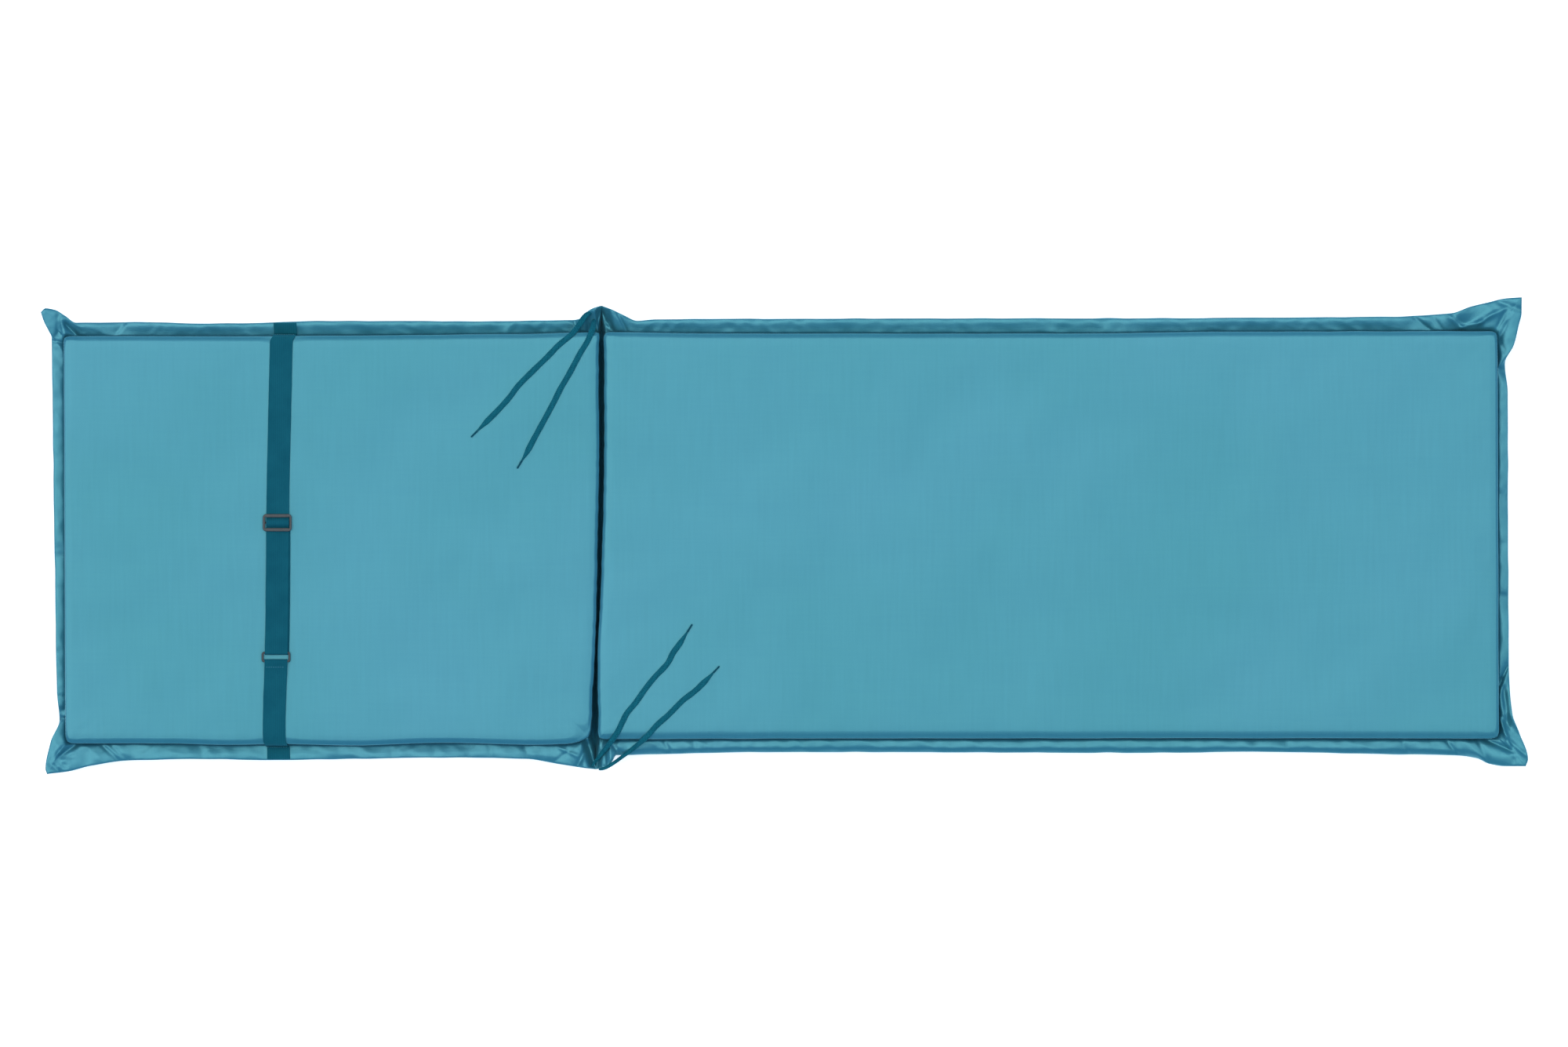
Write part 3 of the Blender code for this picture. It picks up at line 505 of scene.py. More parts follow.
# How far each lace stays gathered from its peak on, and the share of its width that it has there
LACE_GATHERS = {
    "tie_left_outer": (18.0, 0.75),
    "tie_left_inner": (18.0, 0.75),
    "tie_right_inner": (45.0, 0.45),
    "tie_right_outer": (90.0, 0.48),
}

# Each lace's route from its peak to its tip: x, y
LACE_ROUTES = {
    "tie_left_outer": (
        (-245.5, 285.0), (-253.0, 280.5), (-261.5, 268.5), (-272.0, 255.5), (-287.0, 243.0),
        (-302.0, 227.5), (-318.0, 212.0), (-338.0, 192.0), (-351.0, 175.0), (-366.0, 158.5),
        (-381.0, 143.5), (-390.5, 134.0),
    ),
    "tie_left_inner": (
        (-242.0, 275.5), (-244.5, 262.0), (-251.0, 247.0), (-259.0, 234.0), (-266.5, 220.0),
        (-274.0, 206.0), (-284.5, 188.0), (-292.0, 173.0), (-301.0, 156.0), (-310.0, 139.5),
        (-319.0, 123.0), (-328.0, 106.0), (-334.0, 96.0),
    ),
    "tie_right_inner": (
        (-245.5, -294.5), (-236.0, -282.0), (-223.0, -266.0), (-213.0, -251.5), (-205.5, -236.5),
        (-200.0, -226.0), (-188.5, -212.0), (-177.0, -195.5), (-164.5, -180.0), (-149.0, -163.5),
        (-141.5, -149.5), (-132.5, -137.0), (-123.5, -123.0),
    ),
    "tie_right_outer": (
        (-236.0, -298.3), (-227.5, -296.0), (-217.5, -290.0), (-205.0, -281.0), (-190.0, -269.5),
        (-174.5, -255.5), (-162.0, -241.5), (-149.0, -230.0), (-139.0, -220.0), (-128.5, -209.5),
        (-113.5, -198.0), (-100.5, -185.5), (-90.5, -175.0),
    ),
}


def make_camera():
    """Straight above the cushion, from far away, with the cushion almost filling the picture's width."""
    distance = 24.0
    view_width, view_y, view_level = 2.0, 0.0155, 0.038
    lens = bpy.data.cameras.new("camera")
    lens.sensor_width = 36.0
    lens.lens = lens.sensor_width * distance / view_width
    lens.clip_end = 100.0
    camera = bpy.data.objects.new("camera", lens)
    camera.location = (0.0, view_y, distance + view_level)
    bpy.context.scene.collection.objects.link(camera)
    bpy.context.scene.camera = camera


def bell(distance, reach):
    """A soft bump: 1 at no distance, and 0 from twice its reach on."""
    return np.clip(1 - (distance / (2 * reach)) ** 2, 0.0, None) ** 3


def smooth_values(rows, places):
    """Reads a smooth curve through rows of (place, value) that never overshoots its rows."""
    points = np.array(sorted(rows), dtype=float)
    x, y = points[:, 0], points[:, 1]
    step = np.diff(x)
    slope = np.diff(y) / step
    tangent = np.zeros(len(x))
    tangent[0], tangent[-1] = slope[0], slope[-1]
    before, after = slope[:-1], slope[1:]
    same = before * after > 0
    tangent[1:-1][same] = 2 * before[same] * after[same] / (before[same] + after[same])
    places = np.clip(places, x[0], x[-1])
    i = np.clip(np.searchsorted(x, places) - 1, 0, len(step) - 1)
    t = (places - x[i]) / step[i]
    first = (1 + 2 * t) * (1 - t) ** 2 * y[i] + t * (1 - t) ** 2 * step[i] * tangent[i]
    return first + t * t * (3 - 2 * t) * y[i + 1] + t * t * (t - 1) * step[i] * tangent[i + 1]


HEM_ROWS = np.column_stack(
    [HEM_SHARES]
    + [smooth_values([(r[0], r[k]) for r in HEM_SECTION], HEM_SHARES) for k in range(1, len(HEM_COLUMNS))]
)


def ripple(places, spacing, seed, height):
    """A smooth irregular wave along a line, no higher than its height, with bumps about a spacing apart."""
    values = np.random.default_rng(seed).uniform(-1, 1, RIPPLE_VALUES)
    x = np.asarray(places) / spacing + RIPPLE_START
    k = np.floor(x).astype(int)
    t = x - k
    t = t * t * (3 - 2 * t)
    return height * (values[k % RIPPLE_VALUES] * (1 - t) + values[(k + 1) % RIPPLE_VALUES] * t)


def unit(rows):
    """The same vectors at a length of 1."""
    return rows / np.linalg.norm(rows, axis=1)[:, None]


def circle(count):
    """Angles of evenly spaced points round a circle."""
    return 2 * math.pi * np.arange(count) / count


def at_stations(sides, values):
    """Repeats each side's value for all of its stations."""
    return np.repeat(values, [len(side.shares) for side in sides])


def crease_heights(flat):
    """How much the hem's creases lift or lower points, seen from above."""
    total = np.zeros(len(flat))
    for x0, y0, x1, y1, reach, height, step in CREASES:
        start = np.array((x0, y0), dtype=float)
        line = np.array((x1, y1)) - start
        length = np.hypot(*line)
        along = (flat - start) @ line / length
        across = (flat - start) @ np.array((-line[1], line[0])) / length
        past = np.maximum(np.maximum(-along, along - length), 0.0)
        near = (across / reach) ** 2
        lift = bell(past, CREASE_END * reach) * (height + CREASE_STEP * step * across / reach)
        total += lift / (1 + near) ** 1.5 * bell(across, CREASE_SIDE * reach)
    return total


def crumple_heights(sides, flat):
    """How much the cloth's small wrinkles, mostly across the hem, lift or lower points, seen from above."""
    along_y = at_stations(sides, [side.axis == 1 for side in sides])
    share = at_stations(sides, [FOLD_WRINKLES if side.is_fold else 1.0 for side in sides])
    along = np.where(along_y, flat[:, 1], flat[:, 0])
    across = np.where(along_y, flat[:, 0], flat[:, 1])
    total = np.zeros(len(flat))
    for length, breadth, slant, height, layer in WRINKLES:
        spots = zip((along + slant * across) / length, across / breadth)
        values = np.array([noise.noise(Vector((*spot, layer))) for spot in spots])
        total += height * (0.5 - np.abs(values) * 2)
    return total * share


class Side:
    """One side of a pad, with the stretch of hem, or the half of the fold, that runs along it."""

    def __init__(self, name, corners, first, waver, hem, steps):
        pair = (first, (first + 1) % 4)
        self.name = name
        self.ends = [np.array(corners[k][:2]) for k in pair]
        self.radii = [corners[k][2] for k in pair]
        self.end_roundings = [corners[k][3] for k in pair]
        self.inward = [np.array(INWARD[k]) for k in pair]
        self.waver = waver
        self.hem = hem
        self.axis = first % 2
        self.length = np.hypot(*(self.ends[1] - self.ends[0]))
        self.is_fold = name == "fold"
        self.rounding = ROUNDING[name] if name in ROUNDING else ROUNDING[name.split("_")[1]]
        self.column = HEM_COLUMNS.index("left" if "left" in name or self.is_fold else name)
        even = np.arange(steps) / steps
        self.shares = even - CROWDING * np.sin(2 * math.pi * even) / (2 * math.pi)

    def distances(self, shares):
        """How far stations lie from the side's two corners."""
        return shares * self.length, (1 - shares) * self.length

    def pad_points(self, shares, inset, rounding=0.0):
        """Points of the pad's outline, inset from its edge, with the corners rounded."""
        shares = np.atleast_1d(shares)
        distances = self.distances(shares)
        own = np.full(len(shares), self.rounding)
        for at_end, distance in zip(self.end_roundings, distances):
            own += (at_end - self.rounding) * np.clip(1 - distance / ROUNDING_BLEND, 0, 1) ** 2
        if self.name in PULLS:
            at, reach, wider = PULLS[self.name]
            place = self.ends[0][0] + shares * (self.ends[1][0] - self.ends[0][0])
            own += wider * bell(place - at, reach)
        inset = inset + rounding * own
        first, last = (corner + inset[:, None] * way for corner, way in zip(self.ends, self.inward))
        line = last - first
        outward = np.column_stack((-line[:, 1], line[:, 0])) / self.length
        stand = smooth_values(self.waver, shares) + ripple(shares * self.length, *EDGE_RIPPLE)
        if self.is_fold:
            stand += ripple(shares * self.length, *FOLD_RIPPLE)
        points = first + shares[:, None] * line + stand[:, None] * outward
        for radius, way, distance in zip(self.radii, self.inward, distances):
            nearness = np.clip(1 - distance / (CORNER_REACH * radius), 0.0, None)
            points = points + way * (CORNER_CUT * radius * nearness[:, None] ** 2)
        return points

    def hem_points(self):
        """The hem's outer edge, or the fold's middle line, beyond each station."""
        if self.is_fold:
            place = self.hem[0][1] + self.shares * (self.hem[1][1] - self.hem[0][1])
            return np.column_stack((smooth_values(FOLD_LINE, place), place))
        place = self.pad_points(self.shares, 0.0)[:, self.axis]
        for end, at in ((self.hem[0], 0.0), (self.hem[-1], 1.0)):
            slant = end[0] - self.pad_points(at, 0.0)[0][self.axis]
            place = place + slant * bell((self.shares - at) * self.length, EAR_REACH)
        across = smooth_values(self.hem, place)
        from_end = np.minimum(*self.distances(self.shares))
        across = across + ripple(place, *OUTLINE_RIPPLE) * np.clip(from_end / OUTLINE_FADE, 0, 1)
        return np.stack((across, place) if self.axis else (place, across), axis=1)

    def hem_lift(self, row):
        """How high the hem stands above the seam at one row of its section, with its ears and ridges."""
        width_share, rise, own_rise = row[0], row[1], row[self.column]
        if self.is_fold:
            fold_length = math.dist(LEFT_PEAK, RIGHT_PEAK)
            near_end = bell(np.minimum(self.shares, 1 - self.shares) * fold_length, 2 * VALLEY_REACH)
            ridge = RIDGE_HEIGHT * bell(RIDGE_PLACE, RIDGE_REACH) * width_share
            lift = ((1 - VALLEY_DIP) * rise + ridge) * near_end
            return lift - FOLD_DEPTH * (1 - near_end) * width_share
        distances = self.distances(self.shares)
        blend = np.clip(np.minimum(*distances) / SECTION_BLEND, 0, 1)
        lift = rise + (own_rise - rise) * blend * blend * (3 - 2 * blend)
        away = np.ones(len(self.shares))
        for end, distance in zip((self.hem[0], self.hem[-1]), distances):
            if end in (LEFT_PEAK, RIGHT_PEAK):
                lift = lift * (1 - VALLEY_DIP * bell(distance, VALLEY_REACH))
                lift = lift + RIDGE_HEIGHT * bell(distance - RIDGE_PLACE, RIDGE_REACH) * width_share
            else:
                lift = lift + EAR_LIFT * bell(distance, EAR_REACH / 2) * width_share
            away = away * np.clip(distance / HEM_FADE, 0, 1)
        place = self.hem_points()[:, self.axis]
        for side, at, reach, height in HEM_FOLDS:
            if side == self.name:
                lift = lift + height * bell(place - at, reach) * width_share
        waves = sum(ripple(place, *row) for row in HEM_RIPPLES)
        pucker = ripple(place, *HEM_PUCKER) * math.sin(math.pi * min(width_share * PUCKERS_ACROSS, 1.0))
        return lift + (waves * width_share + pucker) * away


BACK_SIDES = (
    Side("back_left", BACK_CORNERS, 0, BACK_LEFT_WAVER, BACK_LEFT_HEM, BACK_STEPS),
    Side("fold", BACK_CORNERS, 1, BACK_FOLD_WAVER, (LEFT_PEAK, RIGHT_PEAK), END_STEPS),
    Side("back_right", BACK_CORNERS, 2, BACK_RIGHT_WAVER, BACK_RIGHT_HEM, BACK_STEPS),
    Side("head", BACK_CORNERS, 3, STRAIGHT, HEAD_HEM, END_STEPS),
)
SEAT_SIDES = (
    Side("seat_left", SEAT_CORNERS, 0, SEAT_LEFT_WAVER, SEAT_LEFT_HEM, SEAT_STEPS),
    Side("foot", SEAT_CORNERS, 1, STRAIGHT, FOOT_HEM, END_STEPS),
    Side("seat_right", SEAT_CORNERS, 2, SEAT_RIGHT_WAVER, SEAT_RIGHT_HEM, SEAT_STEPS),
    Side("fold", SEAT_CORNERS, 3, SEAT_FOLD_WAVER, (RIGHT_PEAK, LEFT_PEAK), END_STEPS),
)


def pad_ring(sides, inset, rounding, height):
    """A closed ring of points round a pad."""
    flat = np.concatenate([side.pad_points(side.shares, inset, rounding) for side in sides])
    return np.column_stack((flat, np.full(len(flat), height)))


def hem_ring(sides, row, drop):
    """A closed ring of points along the hem and the fold, a share of the thickness below its upper face."""
    width_share, thickness = row[0], row[-1]
    parts = []
    for side in sides:
        seam = side.pad_points(side.shares, SEAM_INSET)
        flat = seam + (side.hem_points() - seam) * width_share
        parts.append(np.column_stack((flat, SEAM_HEIGHT + side.hem_lift(row))))
    ring = np.concatenate(parts)
    relief = crease_heights(ring[:, :2]) + crumple_heights(sides, ring[:, :2])
    ring[:, 2] += relief * min(width_share / RELIEF_GROWTH, 1.0)
    ring[:, 2] -= drop * thickness
    return ring


class FaceRelief:
    """The unevenness of a pad's face: cloth, a little too large, that its filling presses up from below."""

    def __init__(self, name, sides):
        outline = pad_ring(sides, 0.0, 0.0, 0.0)[:, :2]
        self.low = outline.min(axis=0)
        size = outline.max(axis=0) - self.low
        self.cells = (size / CLOTH_SPACING).round().astype(int)
        self.step = size / self.cells
        self.heights = np.zeros(self.cells + 1)
        self.heights = self.settle(name)

    def settle(self, name):
        """Lets the cloth swell between its held edges, and gives how far each of its points rises."""
        columns, rows = self.cells + 1
        spots = [(i, j) for i in range(columns) for j in range(rows)]
        rise = [noise.noise(Vector((*spot, CLOTH_LAYER))) for spot in np.array(spots) * CLOTH_UNEVENNESS]
        flat = self.low + np.array(spots) * self.step
        points = np.column_stack((flat, FACE_HEIGHT + np.array(rise))) * MM
        corners = [i * rows + j for i in range(columns - 1) for j in range(rows - 1)]
        faces = [(k, k + rows, k + rows + 1, k + 1) for k in corners]
        mesh = bpy.data.meshes.new(f"{name}_cloth")
        mesh.from_pydata(points.tolist(), [], faces)
        cloth = bpy.data.objects.new(f"{name}_cloth", mesh)
        bpy.context.scene.collection.objects.link(cloth)
        held = [k for k, (i, j) in enumerate(spots) if i in (0, columns - 1) or j in (0, rows - 1)]
        cloth.vertex_groups.new(name="edge").add(held, 1.0, "REPLACE")
        modifier = cloth.modifiers.new("cloth", "CLOTH")
        modifier.settings.quality = 5
        modifier.settings.vertex_group_mass = "edge"
        modifier.settings.shrink_min = CLOTH_SLACK
        modifier.settings.use_pressure = True
        modifier.settings.uniform_pressure_force = CLOTH_PRESSURE
        modifier.settings.effector_weights.gravity = 0.0
        modifier.point_cache.frame_start = 1
        modifier.point_cache.frame_end = CLOTH_FRAMES
        for frame_number in range(1, CLOTH_FRAMES + 1):
            bpy.context.scene.frame_set(frame_number)
        settled = cloth.evaluated_get(bpy.context.evaluated_depsgraph_get()).data
        heights = np.array([v.co.z for v in settled.vertices]) / MM - FACE_HEIGHT
        bpy.data.objects.remove(cloth)
        bpy.data.meshes.remove(mesh)
        bpy.context.scene.frame_set(1)
        return CLOTH_CAP * np.tanh(heights.reshape(columns, rows) / CLOTH_EASE)

    def at(self, points, inset):
        """The relief at some points of the face, fading out towards its edge."""
        place = np.clip((points[:, :2] - self.low) / self.step, 0, self.cells - 1e-6)
        cell = place.astype(int)
        u, v = (place - cell).T
        i, j = cell.T
        near = self.heights[i, j] * (1 - u) + self.heights[i + 1, j] * u
        far = self.heights[i, j + 1] * (1 - u) + self.heights[i + 1, j + 1] * u
        return min(inset / CLOTH_FADE, 1.0) * (near * (1 - v) + far * v)


def band(near, far, count, flip=False):
    """Faces between two rings of points that start at near and far."""
    here = np.arange(count)
    ahead = np.roll(here, -1)
    if flip:
        here, ahead = ahead, here
    return np.column_stack((near + here, near + ahead, far + ahead, far + here)).tolist()


def fill_face(ring, height, first, flip):
    """Points on a grid inside a ring, and triangles over both, when the ring starts at first."""
    outline = ring[:, :2]
    low, high = outline.min(axis=0), outline.max(axis=0)
    columns, rows = ((high - low) / FACE_SPACING).round().astype(int)
    cells = np.array([(i, j) for i in range(1, columns) for j in range(1, rows)])
    grid = low + (high - low) * cells / (columns, rows)
    count = len(outline)
    rim = [(k, (k + 1) % count) for k in range(count)]
    spots = [Vector(p) for p in np.concatenate((outline, grid))]
    triangles = delaunay_2d_cdt(spots, rim, [], 1, 1e-6)[2]
    faces = [[first + k for k in (reversed(t) if flip else t)] for t in triangles]
    return np.column_stack((grid, np.full(len(grid), height))), faces


def make_pad(name, sides, mat):
    """The cover of one pad: upper and lower face, walls, and both layers of its hem up to the outer edge."""
    relief = FaceRelief(name, sides)
    upper = [hem_ring(sides, row, 0.0) for row in HEM_ROWS[::-1]]
    for inset, rounding, height in UPPER_SECTION[1:]:
        ring = pad_ring(sides, inset, rounding, height)
        lip = ripple(np.arange(len(ring)), *LIP_RIPPLE) * bell(height - LIP_HEIGHT, LIP_REACH)
        ring[:, 2] += lip + relief.at(ring, inset)
        upper.append(ring)
    lower = [hem_ring(sides, row, 1.0) for row in HEM_ROWS[::-1]]
    lower += [pad_ring(sides, inset, 0.0, height) for inset, height in LOWER_SECTION[1:]]
    count = len(upper[0])
    parts, faces, starts = [], [], [0]
    for rings, height, flip in ((upper, FACE_HEIGHT, False), (lower, 0.0, True)):
        last = starts[-1] + (len(rings) - 1) * count
        for near in range(starts[-1], last, count):
            faces += band(near, near + count, count, flip)
        middle, triangles = fill_face(rings[-1], height, last, flip)
        if not flip:
            middle[:, 2] += relief.at(middle, CLOTH_FADE)
        faces += triangles
        parts += [*rings, middle]
        starts.append(last + count + len(middle))
    faces += band(0, starts[1], count, True)
    return new_piece(name, np.concatenate(parts), faces, mat)


def new_piece(name, points, faces, mat):
    """A smooth-shaded object from points in millimetres."""
    mesh = bpy.data.meshes.new(name)
    mesh.from_pydata((np.asarray(points) * MM).tolist(), [], faces)
    mesh.validate()
    mesh.shade_smooth()
    mesh.materials.append(mat)
    obj = bpy.data.objects.new(name, mesh)
    bpy.context.scene.collection.objects.link(obj)
    return obj


def flip_outward(obj):
    """Turns a closed mesh's faces outward."""
    bm = bmesh.new()
    bm.from_mesh(obj.data)
    bmesh.ops.recalc_face_normals(bm, faces=bm.faces)
    bm.to_mesh(obj.data)
    bm.free()


def set_inputs(node, values):
    """Sets some of a node's inputs by their names."""
    for key, value in values.items():
        node.inputs[key].default_value = value


class Nodes:
    """A short way to wire a material's nodes."""

    def __init__(self, name):
        self.mat = bpy.data.materials.new(name)
        self.mat.use_nodes = True
        self.tree = self.mat.node_tree
        self.shader = self.tree.nodes["Principled BSDF"]
        self.place = self.new("ShaderNodeTexCoord").outputs["Object"]

    def new(self, kind, **values):
        node = self.tree.nodes.new(kind)
        for key, value in values.items():
            setattr(node, key, value)
        return node

    def link(self, value, socket):
        """Wires a value's node to a socket, or sets the socket to the value."""
        if isinstance(value, bpy.types.NodeSocket):
            self.tree.links.new(value, socket)
        else:
            socket.default_value = value

    def math(self, operation, *values):
        node = self.new("ShaderNodeMath", operation=operation)
        for value, socket in zip(values, node.inputs):
            self.link(value, socket)
        return node.outputs[0]

    def noise(self, scale, detail=2.0, stretch=(1.0, 1.0, 1.0)):
        """Noise with about as many bumps to the metre as its scale."""
        mapping = self.new("ShaderNodeMapping")
        mapping.inputs["Scale"].default_value = stretch
        self.link(self.place, mapping.inputs["Vector"])
        node = self.new("ShaderNodeTexNoise")
        self.link(mapping.outputs[0], node.inputs["Vector"])
        set_inputs(node, {"Scale": scale, "Detail": detail})
        return node.outputs["Fac"]

    def mix(self, share, first, second):
        node = self.new("ShaderNodeMix", data_type="RGBA")
        for value, k in ((share, 0), (first, 6), (second, 7)):
            self.link(value, node.inputs[k])
        return node.outputs[2]

    def spread(self, value, low, high):
        """Spreads the range in which noise mostly lies over a range of its own."""
        node = self.new("ShaderNodeMapRange")
        self.link(value, node.inputs["Value"])
        set_inputs(node, {"From Min": 0.3, "From Max": 0.7, "To Min": low, "To Max": high})
        return node.outputs[0]

    def waves(self, part, width):
        """Ridges across one of the place's parts, at a width in metres."""
        return self.math("SINE", self.math("MULTIPLY", part, math.pi / width))

    def weave(self, thread):
        """Threads along each axis that cross like a plain weave, at a thread width in metres."""
        parts = self.new("ShaderNodeSeparateXYZ")
        self.link(self.place, parts.inputs[0])
        lines = [self.waves(part, thread) for part in parts.outputs]
        return self.math("ADD", self.math("ADD", lines[0], lines[1]), lines[2])

    def finish(self, base, roughness, values, *layers):
        """Wires the shader, with bumps of (height, distance in metres) one over the other."""
        self.link(base, self.shader.inputs["Base Color"])
        self.link(roughness, self.shader.inputs["Roughness"])
        set_inputs(self.shader, values)
        normal = None
        for height, distance in layers:
            node = self.new("ShaderNodeBump")
            node.inputs["Distance"].default_value = distance
            self.link(height, node.inputs["Height"])
            if normal:
                self.link(normal, node.inputs["Normal"])
            normal = node.outputs[0]
        self.link(normal, self.shader.inputs["Normal"])
        return self.mat


def cover_material():
    """Plain woven polyester with a soft satin sheen and faint slubs along both threads."""
    n = Nodes("cover_cloth")
    slub_x = n.noise(260.0, stretch=(0.05, 1.0, 1.0))
    slub_y = n.noise(260.0, stretch=(1.0, 0.05, 1.0))
    cloud = n.noise(3.0, 3.0)
    base = n.mix(n.spread(cloud, 0.0, 1.0), (0.046, 0.236, 0.322, 1), (0.042, 0.243, 0.309, 1))
    base = n.mix(n.spread(slub_x, 0.0, 0.14), base, (0.03, 0.2, 0.3, 1))
    base = n.mix(n.spread(slub_y, 0.0, 0.14), base, (0.06, 0.31, 0.42, 1))
    sheen = {"Sheen Weight": 0.08, "Sheen Roughness": 0.4, "Sheen Tint": (0.45, 0.85, 1.0, 1)}
    return n.finish(
        base,
        n.spread(cloud, 0.36, 0.4),
        {"Metallic": 0.5, **sheen, "Specular IOR Level": 0.5},
        (n.weave(0.00045), 0.000006),
        (n.noise(90.0, 3.0), 0.0001),
    )


def webbing_material():
    """Dense ribbed webbing: ribs along the strap, crossed by fine threads, with painted shade in the grooves
    between the ribs.
    """
    n = Nodes("strap_webbing")
    parts = n.new("ShaderNodeSeparateXYZ")
    n.link(n.place, parts.inputs[0])
    ribs = n.math("ABSOLUTE", n.waves(parts.outputs["X"], 0.0016))
    wefts = n.waves(parts.outputs["Y"], 0.0005)
    weave = n.math("ADD", ribs, n.math("MULTIPLY", wefts, 0.35))
    wear = n.noise(35.0, 4.0)
    base = n.mix(n.spread(wear, 0.0, 1.0), (0.007, 0.105, 0.15, 1), (0.01, 0.131, 0.18, 1))
    # Painted shade: darker down in the grooves between the ribs.
    base = n.mix(n.math("MULTIPLY", n.math("SUBTRACT", 1.0, ribs), 0.45), base, (0.003, 0.045, 0.07, 1))
    return n.finish(
        base,
        n.spread(wear, 0.6, 0.72),
        {"Specular IOR Level": 0.12, "Specular Tint": (0.15, 0.8, 1.0, 1)},
        (weave, 0.0002),
        (n.noise(400.0), 0.0001),
    )


def lace_material():
    """Braided polyester yarn with fine fibres, and painted shade down between its strands, where their relief
    is low.
    """
    n = Nodes("lace_braid")
    strand = n.new("ShaderNodeAttribute", attribute_name="strand").outputs["Fac"]
    yarn = n.noise(900.0)
    blotch = n.noise(120.0)
    base = n.mix(n.spread(yarn, 0.0, 1.0), (0.003, 0.09, 0.132, 1), (0.012, 0.165, 0.22, 1))
    base = n.mix(n.spread(blotch, 0.0, 0.5), base, (0.006, 0.1, 0.142, 1))
    # Painted shade: near black down between the strands, read from the braid's relief.
    base = n.mix(n.spread(strand, 0.9, 0.0), base, (0.001, 0.026, 0.042, 1))
    shine = {"Specular IOR Level": 0.15, "Specular Tint": (0.2, 0.85, 1.0, 1)}
    return n.finish(base, n.spread(yarn, 0.6, 0.8), shine, (yarn, 0.0002))


def tip_material():
    """The lace's own yarn, melted and pressed into a smooth sealed end."""
    n = Nodes("lace_tip")
    streak = n.noise(700.0, stretch=(1.0, 1.0, 0.4))
    base = n.mix(n.spread(streak, 0.0, 1.0), (0.003, 0.05, 0.078, 1), (0.008, 0.09, 0.13, 1))
    shine = {"Specular IOR Level": 0.18, "Specular Tint": (0.2, 0.85, 1.0, 1)}
    return n.finish(base, n.spread(streak, 0.32, 0.5), shine, (streak, 0.0003))


def fitting_material():
    """Moulded plastic with a fine grain and a little wear."""
    n = Nodes("strap_fittings")
    grain = n.noise(1800.0)
    wear = n.noise(160.0, 4.0)
    base = n.mix(n.spread(wear, 0.0, 1.0), (0.05, 0.056, 0.06, 1), (0.075, 0.078, 0.08, 1))
    shine = {"Specular IOR Level": 0.35}
    return n.finish(base, n.spread(wear, 0.36, 0.5), shine, (grain, 0.00006), (wear, 0.0002))


def thread_material(name, low, high):
    """Twisted sewing thread."""
    n = Nodes(name)
    fibre = n.noise(2500.0)
    base = n.mix(n.spread(fibre, 0.0, 1.0), low, high)
    return n.finish(base, n.spread(fibre, 0.5, 0.65), {}, (fibre, 0.00008))


def smooth_path(points, spacing):
    """Points about a spacing apart on a Catmull-Rom curve through a route's own points."""
    pieces = 20
    route = np.array(points, dtype=float)
    route = np.vstack((2 * route[0] - route[1], route, 2 * route[-1] - route[-2]))
    fine = []
    for a, b, c, d in zip(route, route[1:], route[2:], route[3:]):
        for t in np.arange(pieces) / pieces:
            curve = 2 * b + (c - a) * t + (2 * a - 5 * b + 4 * c - d) * t**2
            fine.append(0.5 * (curve + (3 * b - a - 3 * c + d) * t**3))
    fine.append(route[-2])
    return even_path(np.array(fine), spacing)


def lengths_along(line):
    """How far along a line each of its points lies."""
    return np.concatenate(([0.0], np.cumsum(np.linalg.norm(np.diff(line, axis=0), axis=1))))


def even_path(line, spacing):
    """The same line with its points an even spacing apart."""
    lengths = lengths_along(line)
    count = max(round(lengths[-1] / spacing), 2)
    places = np.linspace(0, lengths[-1], count + 1)
    return np.column_stack([np.interp(places, lengths, line[:, k]) for k in range(line.shape[1])])


def soften(values, rounds):
    """Evens out a line of values, with its two ends held."""
    values = np.array(values, dtype=float)
    for _ in range(rounds):
        values[1:-1] = 0.25 * values[:-2] + 0.5 * values[1:-1] + 0.25 * values[2:]
    return values


def surface_of(*objects):
    """The surfaces of some objects together, for finding what lies below a place."""
    points, faces = [], []
    for obj in objects:
        start = len(points)
        points += [obj.matrix_world @ v.co for v in obj.data.vertices]
        faces += [[start + k for k in p.vertices] for p in obj.data.polygons]
    return BVHTree.FromPolygons(points, faces)


def height_at(surface, x, y):
    """Height of the surface, seen from above, or 0 past its edge."""
    hit = surface.ray_cast(Vector((x * MM, y * MM, 2 * FACE_HEIGHT * MM)), Vector((0, 0, -1)))[0]
    return hit.z / MM if hit else 0.0


def height_below(surface, x, y, reach):
    """The highest point of the surface within reach of a place."""
    spots = [(out * math.cos(a), out * math.sin(a)) for out in (reach / 2, reach) for a in circle(8)]
    return max(height_at(surface, x + step_x, y + step_y) for step_x, step_y in [(0.0, 0.0), *spots])


def rest_on(surface, route):
    """Lays a route on the cushion: close above it, and with no stretch steeper than a lace bends."""
    fine = smooth_path(route, LACE_SPACING)
    heights = np.array([height_below(surface, x, y, LACE_WIDTH / 2) for x, y in fine])
    order = np.arange(len(fine))
    steps = np.abs(np.subtract.outer(order, order))
    eased = (heights[None, :] - LACE_SLOPE * LACE_SPACING * steps).max(axis=1)
    eased = np.maximum(soften(eased, rounds=6), eased - LACE_DIP) + GAP + LACE_THICKNESS / 2
    root = np.clip(1 - order * LACE_SPACING / LACE_ROOT, 0, 1)
    return np.column_stack((fine, soften(eased, rounds=3) - LACE_SINK * root**2))


def braid_relief(along, around):
    """Height of two crossing families of strands, each over and under the other in turn, from 0 to 1."""
    first = along / STRAND_PITCH + around
    second = along / STRAND_PITCH - around
    over = (np.floor(first) + np.floor(second)) % 2 == 0
    bulge = np.where(over, np.abs(np.sin(math.pi * first)), np.abs(np.sin(math.pi * second)))
    return np.sqrt(bulge)


